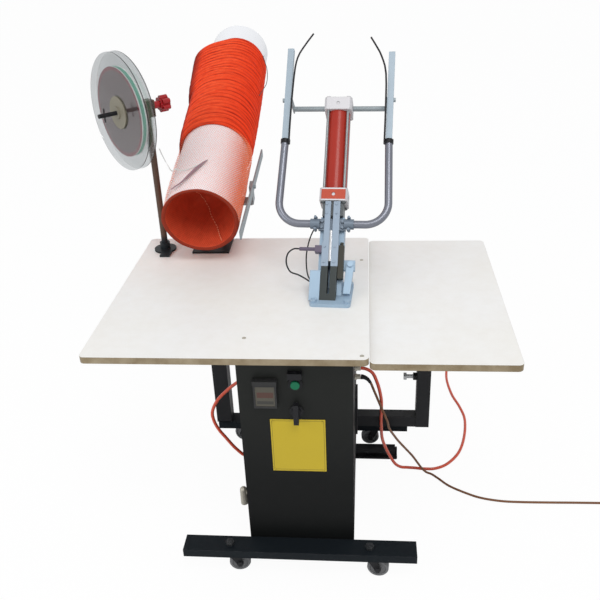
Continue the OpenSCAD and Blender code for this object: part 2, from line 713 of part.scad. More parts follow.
module magazine_yoke() {
    color("#8f98a3") stand() tool() difference() {
        union() {
            translate([-27.5, 8, 177]) cube([55, 7.9, 27]);
            for (s = [-1, 1]) {
                translate([s * 26.5 - 5, 7.9, 178]) cube([10, 12.1, 25]);
                along_x(s * 39 - 11, mag_y, arm_bottom) cylinder(h = 22, r = mag_r + 3);
                for (l = [184, 198]) along_y(s * 24, 3.5, l) hex(7, 6);
                for (e = [-1, 1]) along_y(s * 38.5, -4, arm_bottom + e * 14) cylinder(h = 20, r = 3);
                translate([s * 38.5 - 4, 3, 176]) cube([8, 8, 32]);
            }
        }
        for (s = [-1, 1]) along_x(s * 45 - 17, mag_y, arm_bottom) cylinder(h = 34, r = mag_r);
    }
}
module cylinder_caps() {
    color("#d6d6da") stand() tool() {
        for (l = [cap_low, barrel_high]) difference() {
            translate([-cap_r, 0, l]) linear_extrude(cap_l) polygon([[5, 0], [cap_side - 5, 0], [cap_side, 5],
                [cap_side, cap_side - 5], [cap_side - 5, cap_side], [5, cap_side], [0, cap_side - 5], [0, 5]]);
            if (l == cap_low) translate([0, axis_d, l - 1]) cylinder(h = cap_l + 2, r = rod_d / 2 + run);
            along_x(cap_r - 9, axis_d, l + cap_l / 2) cylinder(h = 12, r = 6);
            along_y(0, -1, l + cap_l / 2) cylinder(h = 3, r = 4);
        }
        difference() {
            translate([-24, 8, cap_low - 35]) cube([48, 49, 35]);
            translate([0, axis_d, cap_low - 36]) cylinder(h = 40, r = rod_d / 2 + run);
        }
        for (x = [-1, 1], y = [-1, 1], l = [cap_low - 4, cap_high])
            translate([x * 23.5, axis_d + y * 23.5, l]) hex(10, 4);
    }
}
module cylinder_barrel() {
    color("#b5281e") stand() tool() translate([0, axis_d, barrel_low]) difference() {
        cylinder(h = barrel_l, r = bore_d / 2 + barrel_wall, $fn = 96);
        translate([0, 0, -1]) cylinder(h = barrel_l + 2, r = bore_d / 2, $fn = 96);
    }
}
module tie_rods() {
    color("#b9bcc0") stand() tool() for (x = [-1, 1], y = [-1, 1])
        translate([x * 23.5, axis_d + y * 23.5, barrel_low]) cylinder(h = barrel_l, r = 3);
}
module ram() {
    color("#c9ccd0") stand() tool() {
        translate([0, axis_d, barrel_high - 34]) cylinder(h = 30, r = bore_d / 2 - run, $fn = 96);
        translate([0, axis_d, rod_low]) cylinder(h = barrel_high - 10 - rod_low, r = rod_d / 2);
        translate([-1 - blade_w / 2, 1, 102]) cube([blade_w, axis_d, 73]);
    }
}
module mag_side(s) {
    bx = mag_half - mag_bend;
    dx = mag_bend * cos(lean);
    dz = mag_bend * sin(lean);
    up = (arm_top - arm_bottom - mag_bend - dz) / cos(lean);
    scale([s, 1, 1]) translate([0, mag_y, arm_bottom]) {
        along_x(28, 0, 0) linear_extrude(bx - 28) difference() {
            circle(mag_r);
            circle(mag_r - 1.5);
        }
        translate([bx, 0, mag_bend]) rotate([90, 0, 0]) rotate([0, 0, -90])
            rotate_extrude(angle = 90 + lean, $fn = 72) translate([mag_bend, 0]) difference() {
                circle(mag_r, $fn = 32);
                circle(mag_r - 1.5, $fn = 32);
            }
        translate([bx + dx, 0, mag_bend + dz]) rotate([0, -lean, 0]) linear_extrude(up) difference() {
            circle(mag_r);
            circle(mag_r - 1.5);
        }
    }
}
module magazine_tubes() {
    color("#8f95a0") stand() tool() for (s = [-1, 1]) mag_side(s);
}
module magazine_channels() {
    color("#9fb0bd") stand() tool() for (s = [-1, 1]) {
        l = channel_l - (s > 0 ? 12 : 0);
        translate([s * chan_x - channel_w / 2, 1.5, arm_top]) difference() {
            cube([channel_w, 14, l]);
            translate([1.5, 1.5, -1]) cube([channel_w - 3, 11, l + 2]);
            translate([channel_w / 2 - slot_w / 2, 11, -1]) cube([slot_w, 4, l + 2]);
        }
    }
}
wire_top = 565;
module pusher_wires() {
    reach = channel_l - 235;
    left = [[-112.4, -1, arm_top - 8], [-112.4, -1, 470], [-110, -1, wire_top + reach],
        [-104, -1, 610 + reach], [-88, -1, 642 + reach], [-69, -1, 672 + reach]];
    right = [[112.4, -1, arm_top - 8], [112.4, -1, 470], [110, -1, wire_top + reach],
        [98, -1, 610 + reach], [85, -1, 636 + reach], [71, -1, 660 + reach]];
    color("#3a3d42") stand() tool() {
        sweep(smooth(left, 3), 2.2, 8);
        sweep(smooth(right, 3), 2.2, 8);
        for (s = [-1, 1]) difference() {
            union() {
                translate([s * chan_x, mag_y, arm_top - 10]) cylinder(h = 10, r = mag_r + 2);
                translate([s * 112.4 - 2.2, -1, arm_top - 12]) cube([4.4, 8, 10]);
            }
            translate([s * (chan_x + 0.3), mag_y, arm_top - 13]) cylinder(h = 14, r = mag_r + 0.35);
        }
    }
}
cross_y = axis_d + 17.5;
cross_l = cap_high - 7;
bar_end = chan_x - channel_w / 2 - 1;
module crossbar() {
    color("#a7abb0") stand() tool() for (s = [-1, 1]) {
        scale([s, 1, 1]) along_x(cap_r + 0.3, cross_y, cross_l) cylinder(h = bar_end - cap_r - 0.3, r = 6.25);
        translate([s * (bar_end - 0.5) - 1.5, 5, cross_l - 8]) cube([3, cross_y + 3, 16]);
        along_x(s * (chan_x + channel_w / 2 + 2.5) - 2.5, mag_y, cross_l + 2) hex(10, 5);
    }
}
module sensor() {
    color("#5e5566") stand() tool() {
        along_x(-72, 7, 131) cylinder(h = 50, r = 4.25);
        translate([-36, 1, 123]) cube([15.8, 19, 16]);
    }
}
module knife_cylinder() {
    color("#34352c") stand() tool() {
        translate([18, 2, 62]) cube([13, 15, 78]);
        translate([25, 9.5, 140]) cylinder(h = 8, r = 4);
    }
}
module knife_arm() {
    color("#9fb3c8") stand() tool() difference() {
        along_y(0, 9.7, 0) linear_extrude(10) hull() {
            translate([pivot_x, -pivot_l]) circle(9);
            translate([33, -37]) square([15, 8]);
        }
        along_y(pivot_x, 2, pivot_l) cylinder(h = 20, r = tool_pin_r + run);
    }
}
lead_a = [[-72, 7, 131], [-86, 6, 130], [-98, 4, 118], [-100, 2, 96], [-90, 4, 76], [-72, 8, 70],
    [-58, 14, 64], [-46, 22, 58]];
lead_b = [[-34, 26, 205], [-40, 22, 190], [-52, 24, 160], [-58, 26, 120], [-54, 32, 80], [-44, 34, 60]];
module clipper_leads() {
    color("#17181a") stand() tool() {
        sweep(smooth(lead_a, 2), 1.8, 8);
        sweep(smooth(lead_b, 2), 1.6, 8);
    }
}

// ---------- hoses and cable ----------
hose_r = 4;
cable_r = 3;
side_x = cab_side + gland_l;
hose_coil = [385, 985];
hose_coil_r = 44;
coil_lift = 8.9;
mains_coil_at = [850, 300];
mains_coil_r = 33;
mains_lift = 6.9;
coil_turns = 3;
end_gap = 0.3;
hose_pts = [[side_x + end_gap, 222, 440], [147, 222, 438.3], [157, 222, 433.2], [165, 222, 424.6],
    [171, 222, 411], [179, 223, 384], [185, 229, 347], [186, 244, 307], [186, 259, 272], [187, 276, 232],
    [191, 308, 168], [203, 334, 112], [216, 354, 68], [230, 368, 34], [246, 380, 14], [264, 388, 6],
    [284, 389, hose_r], [312, 386, hose_r], [342, 389, hose_r], [377, 411, hose_r], [413, 462, hose_r],
    [436, 536, hose_r], [446, 617, hose_r], [437, 680, hose_r], [420, 745, hose_r], [412, 830, hose_r],
    [420, 910, hose_r], [hose_coil[0] + hose_coil_r, 985, hose_r]];
mains_pts = [[side_x + end_gap, 222, 416], [144, 221.6, 414.8], [152, 220, 410.8], [159.5, 217.4, 402],
    [166, 214.8, 386], [184, 212, 338], [200, 228, 284], [206, 258, 240], [219, 288, 196], [233, 310, 159],
    [253, 334, 116], [274, 352, 76], [290, 361, 44], [303, 367, 20], [315, 369, 6.5], [329, 365, 3.3],
    [346, 348, cable_r], [372, 320, cable_r], [413, 294, cable_r], [450, 277, cable_r], [500, 267, cable_r],
    [550, 265, cable_r], [620, 266, cable_r], [700, 268, cable_r], [780, 269, cable_r],
    [mains_coil_at[0], mains_coil_at[1] - mains_coil_r, cable_r]];
loop_pts = [[-side_x - end_gap, 200, 415], [-147.2, 200, 413.1], [-156.9, 200, 407.5], [-176, 200, 390.5],
    [-204, 200, 359.5], [-220, 200, 326], [-219, 200, 298], [-209, 200, 271], [-194, 200, 247],
    [-176.8, 200, 220.6], [-160.8, 200, 201.4], [-153.7, 200, 195.2], [-145.7, 200, 191.4],
    [-side_x - end_gap, 200, 190]];
// One unbroken tube: stacked loops, then an end that comes down to the floor
function helix(c, r, lift, turns, z0, a0) = [for (i = [0 : 24 * turns])
    [c[0] + r * cos(a0 + 15 * i), c[1] + r * sin(a0 + 15 * i), z0 + lift * i / 24]];
hose_helix = helix(hose_coil, hose_coil_r, coil_lift, coil_turns, hose_r, 0);
hose_tail = [[hose_coil[0] + hose_coil_r + 1.5, 1008, hose_r + coil_lift * coil_turns - 1],
    [hose_coil[0] + hose_coil_r + 4.5, 1032, hose_r + coil_lift * coil_turns - 9],
    [hose_coil[0] + hose_coil_r + 8.5, 1056, 11], [hose_coil[0] + hose_coil_r + 10, 1074, 8.3],
    [hose_coil[0] + hose_coil_r + 10, 1090, 8.3]];
mains_helix = helix(mains_coil_at, mains_coil_r, mains_lift, coil_turns, cable_r, -90);
mains_tail = [[mains_coil_at[0] + 18, mains_coil_at[1] - mains_coil_r - 1, cable_r + mains_lift * coil_turns - 1],
    [mains_coil_at[0] + 38, mains_coil_at[1] - mains_coil_r - 2, cable_r + mains_lift * coil_turns - 6],
    [mains_coil_at[0] + 60, mains_coil_at[1] - mains_coil_r - 3, 14],
    [mains_coil_at[0] + 74, mains_coil_at[1] - mains_coil_r - 3, 13],
    [mains_coil_at[0] + 86, mains_coil_at[1] - mains_coil_r - 3, 13]];
module air_hose() { color("#c03a28") stand() sweep(smooth(hose_pts, 2), hose_r, 10); }
module mains_cable() { color("#4a3026") stand() sweep(smooth(mains_pts, 2), cable_r, 10); }
module hose_loop() { color("#c03a28") stand() sweep(smooth(loop_pts, 2), hose_r, 10); }
module air_hose_coil() { color("#c03a28") stand() sweep(concat(hose_helix, hose_tail), hose_r, 6); }
module mains_coil() { color("#4a3026") stand() sweep(concat(mains_helix, mains_tail), cable_r, 6); }
module hose_connector() {
    e = hose_tail[4];
    color("#b9bcc0") stand() along_y(e[0], e[1] + end_gap, e[2]) {
        cylinder(h = 16, r = 5);
        translate([0, 0, 14]) hex(16, 12);
        translate([0, 0, 26]) cylinder(h = 14, r = 6.5);
    }
}
module mains_plug() {
    e = mains_tail[4] + [end_gap, 0, 0];
    color("#1b1c1e") stand() {
        translate([e[0], e[1] - 13, 0]) cube([34, 26, 26]);
        for (y = [-8, 8]) along_x(e[0] + 33, e[1] + y, e[2]) cylinder(h = 20, r = 2.4);
    }
}
echo(coil_gaps = [least_gap(hose_helix, 12, 2 * hose_r), least_gap(mains_helix, 12, 2 * cable_r)]);
function run_length(p) = len(p) < 2 ? 0 : sum([for (i = [1 : len(p) - 1]) norm(p[i] - p[i - 1])]);
function sum(v) = [for (i = 0, s = v[0]; i < len(v); i = i + 1, s = i < len(v) ? s + v[i] : s) s][len(v) - 1];
echo(lengths = [run_length(smooth(hose_pts, 2)), run_length(hose_helix), run_length(hose_tail),
    run_length(smooth(mains_pts, 2)), run_length(mains_helix), run_length(mains_tail),
    run_length(smooth(loop_pts, 2))]);
echo(shift = [mid_x, mid_y]);

base_beams();
castor_mounts();
castor_fork_fl();
castor_fork_fr();
castor_fork_rl();
castor_fork_rr();
castor_wheel_fl();
castor_wheel_fr();
castor_wheel_rl();
castor_wheel_rr();
cabinet_shell();
rear_door();
door_latch();
table_supports();
table_post();
clamp_screw();
main_table();
right_table();
counter();
control_bezels();
start_button();
selector_knob();
rating_plate();
cabinet_fittings();
air_panel();
pedal_base();
pedal_treadle();
reel_stand();
reel_axle();
reel_knob();
reel_discs();
tape_roll();
reel_hub();
pvc_tube();
net_sleeve();
tube_support();
tube_saddle();
clipper_base();
die_block();
clip_rails();
magazine_yoke();
cylinder_caps();
cylinder_barrel();
tie_rods();
ram();
magazine_tubes();
magazine_channels();
pusher_wires();
crossbar();
sensor();
knife_arm();
knife_cylinder();
air_hose();
air_hose_coil();
hose_connector();
hose_loop();
mains_cable();
mains_coil();
mains_plug();
clipper_leads();
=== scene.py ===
# %% [markdown]
# # Dressing a net bag clipper
# The machine is a cabinet on castors with two cream tables, a net-covered loading tube, a reel of
# tape and an inclined air-driven clipper. The solids arrive as a fixed frame, and this lesson gives
# them finishes, and adds the pieces that a solid can't show well: hoses, knitted net and tape.
#
# The first cell loads the frame, with a function that finds the box of what shows.

# %% Load the frame
import bpy, json, math
from mathutils import Vector, Matrix


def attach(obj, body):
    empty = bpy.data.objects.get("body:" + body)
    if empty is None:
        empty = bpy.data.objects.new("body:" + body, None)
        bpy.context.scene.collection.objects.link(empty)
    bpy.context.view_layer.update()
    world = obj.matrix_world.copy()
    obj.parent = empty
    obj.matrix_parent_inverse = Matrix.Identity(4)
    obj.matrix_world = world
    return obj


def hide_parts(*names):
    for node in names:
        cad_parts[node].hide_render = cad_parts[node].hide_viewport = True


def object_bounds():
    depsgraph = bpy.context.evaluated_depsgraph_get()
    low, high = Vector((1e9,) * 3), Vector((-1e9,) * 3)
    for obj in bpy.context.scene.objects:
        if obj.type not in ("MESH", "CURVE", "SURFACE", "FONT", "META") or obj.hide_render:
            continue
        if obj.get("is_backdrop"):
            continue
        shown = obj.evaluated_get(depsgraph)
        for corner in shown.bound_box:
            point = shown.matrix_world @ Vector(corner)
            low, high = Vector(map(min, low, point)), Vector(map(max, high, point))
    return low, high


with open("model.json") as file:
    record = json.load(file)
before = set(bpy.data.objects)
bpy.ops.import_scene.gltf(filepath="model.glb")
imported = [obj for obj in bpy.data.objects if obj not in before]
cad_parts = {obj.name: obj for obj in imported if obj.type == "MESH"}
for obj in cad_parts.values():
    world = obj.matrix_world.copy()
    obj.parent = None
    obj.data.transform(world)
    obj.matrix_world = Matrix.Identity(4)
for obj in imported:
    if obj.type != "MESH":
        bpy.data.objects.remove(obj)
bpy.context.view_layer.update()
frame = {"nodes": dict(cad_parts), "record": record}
nodes_3d = frame["nodes"]

# %% [markdown]
# The drawing of the machine counts from the tables' front edge and the cabinet's middle, in
# millimetres. The frame counts from the machine's own middle, in metres. One small function turns
# the first into the second, so that every place below reads like the drawing.

# %% Drawing millimetres to frame metres
MID_X, MID_Y = -38.128991, 655.344891
TABLE_TOP = 603


def at(x, y, z):
    return Vector(((x - MID_X) / 1000, (y - MID_Y) / 1000, z / 1000))


print("front of the tables:", at(0, 0, TABLE_TOP))

# %% [markdown]
# The camera stands in front and a little to the right, 1.4 m up, and looks down over the tables.
# Its three angles are set as one rotation matrix, built from the yaw, the pitch and a slight roll,
# because a matrix says exactly which way the picture's right, up and forward point.

# %% Camera
def add_object(name, data):
    piece = bpy.data.objects.new(name, data)
    bpy.context.collection.objects.link(piece)
    return piece


def look(yaw, pitch, roll):
    sy, cy, sp, cp = math.sin(yaw), math.cos(yaw), math.sin(pitch), math.cos(pitch)
    ahead = Vector((sy * cp, cy * cp, -sp))
    right = Vector((cy, -sy, 0))
    up = right.cross(ahead)
    right, up = (right * math.cos(roll) + up * math.sin(roll), up * math.cos(roll) - right * math.sin(roll))
    turn = Matrix((right, up, -ahead)).transposed()
    return turn.to_4x4()


CAMERA_PLACE = at(147.2, -1258.2, 1403.6)
CAMERA_YAW, CAMERA_PITCH, CAMERA_ROLL = -5.628, 27.825, -2.480
lens = bpy.data.cameras.new("camera")
lens.sensor_width = 36
lens.lens = 45.23
lens.clip_end = 200
camera = add_object("camera", lens)
camera.matrix_world = Matrix.Translation(CAMERA_PLACE) @ look(
    math.radians(CAMERA_YAW), math.radians(CAMERA_PITCH), math.radians(CAMERA_ROLL))
bpy.context.scene.camera = camera
bpy.context.scene.view_settings.view_transform = "Standard"
print("camera at", [round(v, 3) for v in camera.matrix_world.translation])

# %% [markdown]
# The red air hose, the brown mains cable and the short hose loop follow given routes.
# A curve with a round section is the natural way to make them: it stays smooth, and its own line
# is the cord's length. A Catmull-Rom curve goes through every listed point, so the route stays
# where the solids have it. The spare length lies in a round coil, tied, behind or beside the view.

# %% Routes in millimetres
HOSE_D, CABLE_D, TURNS = 8, 6, 3
hose_route = [(136.3, 222, 440), (147, 222, 438.3), (157, 222, 433.2), (165, 222, 424.6),
    (171, 222, 411), (179, 223, 384), (185, 229, 347), (186, 244, 307), (186, 259, 272), (187, 276, 232),
    (191, 308, 168), (203, 334, 112), (216, 354, 68), (230, 368, 34), (246, 380, 14), (264, 388, 6),
    (284, 389, 4), (312, 386, 4), (342, 389, 4), (377, 411, 4), (413, 462, 4), (436, 536, 4), (446, 617, 4),
    (437, 680, 4), (420, 745, 4), (412, 830, 4), (420, 910, 4), (429, 985, 4)]
cable_route = [(136.3, 222, 416), (144, 221.6, 414.8), (152, 220, 410.8), (159.5, 217.4, 402),
    (166, 214.8, 386), (184, 212, 338), (200, 228, 284), (206, 258, 240), (219, 288, 196), (233, 310, 159),
    (253, 334, 116), (274, 352, 76), (290, 361, 44), (303, 367, 20), (315, 369, 6.5), (329, 365, 3.3),
    (346, 348, 3), (372, 320, 3), (413, 294, 3), (450, 277, 3), (500, 267, 3), (550, 265, 3), (620, 266, 3),
    (700, 268, 3), (780, 269, 3), (850, 267, 3)]
loop_route = [(-136.3, 200, 415), (-147.2, 200, 413.1), (-156.9, 200, 407.5), (-176, 200, 390.5),
    (-204, 200, 359.5), (-220, 200, 326), (-219, 200, 298), (-209, 200, 271), (-194, 200, 247),
    (-176.8, 200, 220.6), (-160.8, 200, 201.4), (-153.7, 200, 195.2), (-145.7, 200, 191.4),
    (-136.3, 200, 190)]


def between(a, b, c, d, t):
    return tuple(0.5 * (2 * q + (r - p) * t + (2 * p - 5 * q + 4 * r - s) * t * t
                        + (3 * q - p - 3 * r + s) * t ** 3)
                 for p, q, r, s in zip(a, b, c, d))


def smooth(points, steps):
    last = len(points) - 1
    out = [between(points[max(i - 1, 0)], points[i], points[i + 1], points[min(i + 2, last)], j / steps)
           for i in range(last) for j in range(steps)]
    return out + [points[last]]


def stacked_coil(middle, radius, lift, floor, start):
    turns = [(math.radians(start + 15 * i), floor + lift * i / 24) for i in range(24 * TURNS + 1)]
    return [(middle[0] + radius * math.cos(a), middle[1] + radius * math.sin(a), z) for a, z in turns]


def angles_round(count):
    return [2 * math.pi * k / count for k in range(count)]


def length_of(points):
    return sum((b - a).length for a, b in zip(points, points[1:]))


print("picked points:", len(hose_route), len(cable_route), len(loop_route))

# %% [markdown]
# Each coil is a stack of loops that rises by a little more than the cord's own thickness per turn,
# so no loop touches the next. Its last loop runs on in a short tail down to the connector or plug.
# The tube's radius sits in each knot, because the box of a curve reaches that far round its knots.

# %% Hoses and cable as curves
HOSE_COIL_PLACE, HOSE_COIL_R = (385, 985), 44
CABLE_COIL_PLACE, CABLE_COIL_R = (850, 300), 33
GAP_IN_COIL = 0.9
hose_coil = stacked_coil(HOSE_COIL_PLACE, HOSE_COIL_R, HOSE_D + GAP_IN_COIL, HOSE_D / 2, 0)
hose_tail = [(430.5, 1008, 29.7), (433.5, 1032, 21.7), (437.5, 1056, 11), (439, 1074, 8.3), (439, 1090, 8.3)]
cable_coil = stacked_coil(CABLE_COIL_PLACE, CABLE_COIL_R, CABLE_D + GAP_IN_COIL, CABLE_D / 2, -90)
cable_tail = [(868, 266, 22.7), (888, 265, 17.7), (910, 264, 14), (924, 264, 13), (936, 264, 13)]


def tube_along(name, points, diameter, body="stand"):
    line = bpy.data.curves.new(name, "CURVE")
    line.dimensions = "3D"
    line.bevel_depth = 1.0
    line.bevel_resolution = 5
    line.use_fill_caps = True
    spline = line.splines.new("POLY")
    spline.points.add(len(points) - 1)
    for knot, p in zip(spline.points, points):
        knot.co = (*p, 1)
        knot.radius = diameter / 2000
    spline.use_smooth = True
    piece = add_object(name, line)
    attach(piece, body)
    return piece


def metres(points):
    return [at(*p) for p in points]


def cord_line(route, coil, tail):
    return metres(smooth(route, 6)[:-1] + coil + smooth([coil[-1]] + tail, 4)[1:])


hose_line = cord_line(hose_route, hose_coil, hose_tail)
cable_line = cord_line(cable_route, cable_coil, cable_tail)
loop_line = metres(smooth(loop_route, 8))
air_hose = tube_along("red_air_hose", hose_line, HOSE_D)
mains_cable = tube_along("brown_mains_cable", cable_line, CABLE_D)
hose_loop = tube_along("red_hose_loop", loop_line, HOSE_D)
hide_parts("air_hose", "air_hose_coil")
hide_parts("mains_cable", "mains_coil")
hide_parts("hose_loop")
cord_lengths = [length_of(line) for line in (hose_line, cable_line, loop_line)]
print("hose %.3f m, cable %.3f m, loop %.3f m" % tuple(cord_lengths))

# %% [markdown]
# The floor is a wide pale plane that keeps the machine's shadow. The photograph's ground is almost
# white, so towards the camera the floor mixes its own shade with a plain white, and the world is
# white for the camera, for mirrors and for clear plastic. The light on the machine stays plain.

# %% Floor and world
def shader(name):
    material = bpy.data.materials.new(name)
    material.use_nodes = True
    tree = material.node_tree
    return material, tree, tree.nodes["Principled BSDF"]


def feed(tree, socket, value):
    if hasattr(value, "is_output"):
        tree.links.new(value, socket)
    else:
        socket.default_value = value


def fill(tree, node, **values):
    for label, value in values.items():
        feed(tree, node.inputs[label.replace("_", " ")], value)


def math_node(tree, operation, a, b=None, clamp=False):
    node = tree.nodes.new("ShaderNodeMath")
    node.operation = operation
    node.use_clamp = clamp
    feed(tree, node.inputs[0], a)
    if b is not None:
        feed(tree, node.inputs[1], b)
    return node.outputs[0]


def times(tree, a, b, clamp=False):
    return math_node(tree, "MULTIPLY", a, b, clamp)


def plus(tree, a, b, clamp=False):
    return math_node(tree, "ADD", a, b, clamp)


def minus(tree, a, b, clamp=False):
    return math_node(tree, "SUBTRACT", a, b, clamp)


def coordinates(tree):
    return tree.nodes.new("ShaderNodeTexCoord").outputs


def axes_of(tree, vector):
    node = tree.nodes.new("ShaderNodeSeparateXYZ")
    tree.links.new(vector, node.inputs[0])
    return node.outputs


HALF_FLOOR, FLOOR_Z = 40, -0.0005
floor_corners = [(x * HALF_FLOOR, y * HALF_FLOOR, FLOOR_Z) for x, y in ((-1, -1), (1, -1), (1, 1), (-1, 1))]
floor_mesh = bpy.data.meshes.new("floor")
floor_mesh.from_pydata(floor_corners, [], [(0, 1, 2, 3)])
floor = add_object("floor", floor_mesh)
floor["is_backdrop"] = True
floor_paint, tree, surface = shader("floor_white")
fill(tree, surface, Base_Color=(0.93, 0.93, 0.93, 1), Roughness=0.9, Specular_IOR_Level=0.1)
glow = tree.nodes.new("ShaderNodeEmission")
glow.inputs["Color"].default_value = (1, 1, 1, 1)
rays = tree.nodes.new("ShaderNodeLightPath")
share = times(tree, rays.outputs["Is Camera Ray"], 0.95)
blend = tree.nodes.new("ShaderNodeMixShader")
tree.links.new(share, blend.inputs["Fac"])
tree.links.new(surface.outputs[0], blend.inputs[1])
tree.links.new(glow.outputs[0], blend.inputs[2])
tree.links.new(blend.outputs[0], tree.nodes["Material Output"].inputs["Surface"])
floor_mesh.materials.append(floor_paint)

world = bpy.data.worlds.new("plain_light")
bpy.context.scene.world = world
world.use_nodes = True
tree = world.node_tree
tree.nodes.clear()
rays = tree.nodes.new("ShaderNodeLightPath")
soft = tree.nodes.new("ShaderNodeBackground")
fill(tree, soft, Color=(0.96, 0.98, 1.0, 1), Strength=0.72)
white = tree.nodes.new("ShaderNodeBackground")
white.inputs["Strength"].default_value = 1.0
seen = math_node(tree, "MAXIMUM", rays.outputs["Is Camera Ray"], rays.outputs["Is Glossy Ray"])
seen = math_node(tree, "MAXIMUM", seen, rays.outputs["Is Transmission Ray"])
choose = tree.nodes.new("ShaderNodeMixShader")
out = tree.nodes.new("ShaderNodeOutputWorld")
tree.links.new(seen, choose.inputs["Fac"])
tree.links.new(soft.outputs[0], choose.inputs[1])
tree.links.new(white.outputs[0], choose.inputs[2])
tree.links.new(choose.outputs[0], out.inputs["Surface"])
print("floor and world ready")

# %% [markdown]
# Two large lamps do the rest: a broad key high in front, a little to the right, so that the reel's
# shadow misses the net, and a weaker fill from the left. Most of the light is even and soft.

# %% Lamps
def lamp(name, place, target, size, power, tint):
    light = bpy.data.lights.new(name, "AREA")
    light.shape = "DISK"
    light.size = size
    light.energy = power
    light.color = tint
    piece = add_object(name, light)
    piece.location = place
    piece.rotation_euler = (Vector(target) - Vector(place)).to_track_quat("-Z", "Y").to_euler()


lamp("key", (0.9, -2.6, 4.4), (0, 0, 0.6), 2.2, 78, (1.0, 0.99, 0.97))
lamp("fill", (-3.0, -2.6, 2.0), (0, 0, 0.6), 2.4, 30, (0.96, 0.98, 1.0))
print("lamps ready")

# %% [markdown]
# Three effects come back in many finishes, so each is a node group with named sockets. The first
# rounds every edge a little and finds where paint wears: it compares the true normal with one that
# is bevelled, which differs only near an edge. The second is fine grain. The third lets a colour
# drift over a surface, as dust and handling do.

# %% Shader groups
def group(name, inputs, outputs):
    tree = bpy.data.node_groups.new(name, "ShaderNodeTree")
    for label, kind, value in inputs:
        socket = tree.interface.new_socket(label, in_out="INPUT", socket_type=kind)
        if value is not None:
            socket.default_value = value
    for label, kind in outputs:
        tree.interface.new_socket(label, in_out="OUTPUT", socket_type=kind)
    return tree, tree.nodes.new("NodeGroupInput"), tree.nodes.new("NodeGroupOutput")


FLOAT, COLOUR, VECTOR = "NodeSocketFloat", "NodeSocketColor", "NodeSocketVector"


def noise_node(tree, scale, detail=3.0, roughness=0.55):
    node = tree.nodes.new("ShaderNodeTexNoise")
    fill(tree, node, Vector=coordinates(tree)["Object"], Scale=scale, Detail=detail, Roughness=roughness)
    return node.outputs["Fac"]


def bump_node(tree, height, strength, distance):
    node = tree.nodes.new("ShaderNodeBump")
    fill(tree, node, Height=height, Strength=strength, Distance=distance)
    return node


def mix_colour(tree, mask, a, b):
    node = tree.nodes.new("ShaderNodeMix")
    node.data_type = "RGBA"
    for place_in_node, value in ((0, mask), (6, a), (7, b)):
        feed(tree, node.inputs[place_in_node], value)
    return node.outputs[2]


worn, given, made = group(
    "worn_edges", [("Radius", FLOAT, 0.001), ("Amount", FLOAT, 0.5), ("Breakup", FLOAT, 90.0)],
    [("Mask", FLOAT), ("Normal", VECTOR)])
bevel = worn.nodes.new("ShaderNodeBevel")
bevel.samples = 4
worn.links.new(given.outputs["Radius"], bevel.inputs["Radius"])
facing = worn.nodes.new("ShaderNodeNewGeometry")
dot = worn.nodes.new("ShaderNodeVectorMath")
dot.operation = "DOT_PRODUCT"
worn.links.new(bevel.outputs[0], dot.inputs[0])
worn.links.new(facing.outputs["Normal"], dot.inputs[1])
patch = noise_node(worn, given.outputs["Breakup"])
edge = times(worn, minus(worn, 1.0, dot.outputs["Value"]), 9.0, clamp=True)
broken = times(worn, minus(worn, patch, 0.42), 6.0, clamp=True)
worn_share = times(worn, edge, broken)
mask = times(worn, worn_share, given.outputs["Amount"], clamp=True)
worn.links.new(mask, made.inputs["Mask"])
worn.links.new(bevel.outputs[0], made.inputs["Normal"])

grain, given, made = group(
    "fine_grain", [("Scale", FLOAT, 400.0), ("Strength", FLOAT, 0.1), ("Normal", VECTOR, None)],
    [("Value", FLOAT), ("Normal", VECTOR)])
speck = noise_node(grain, given.outputs["Scale"], 4.0, 0.6)
bump = bump_node(grain, speck, given.outputs["Strength"], 0.0006)
grain.links.new(given.outputs["Normal"], bump.inputs["Normal"])
grain.links.new(speck, made.inputs["Value"])
grain.links.new(bump.outputs["Normal"], made.inputs["Normal"])

drift, given, made = group(
    "colour_drift", [("Colour", COLOUR, (1, 1, 1, 1)), ("Tint", COLOUR, (0.5, 0.5, 0.5, 1)),
                     ("Scale", FLOAT, 6.0), ("Amount", FLOAT, 0.3)],
    [("Color", COLOUR), ("Mask", FLOAT)])
cloud = noise_node(drift, given.outputs["Scale"], 5.0, 0.6)
cloud_mask = times(drift, minus(drift, cloud, 0.35), 3.0, clamp=True)
amount = times(drift, cloud_mask, given.outputs["Amount"])
drifted = mix_colour(drift, amount, given.outputs["Colour"], given.outputs["Tint"])
drift.links.new(drifted, made.inputs["Color"])
drift.links.new(cloud_mask, made.inputs["Mask"])
print("groups:", [g.name for g in bpy.data.node_groups])

# %% [markdown]
# One recipe dresses every plain piece: a colour that drifts, edges that are softened and worn
# through to a second colour, and a grain that lifts the surface and breaks up its gloss. What sets
# powder coat apart from zinc or plastic is only the numbers, so the recipe is a function.

# %% The everyday recipe
def place(tree, tool, **values):
    node = tree.nodes.new("ShaderNodeGroup")
    node.node_tree = tool
    fill(tree, node, **values)
    return node


def rgb(colour):
    return (*colour, 1)


def colour_socket(material):
    return material.node_tree.nodes["Principled BSDF"].inputs["Base Color"]


def paint_over(material, mask, colour):
    tree, socket = material.node_tree, colour_socket(material)
    tree.links.new(mix_colour(tree, mask, socket.links[0].from_socket, rgb(colour)), socket)


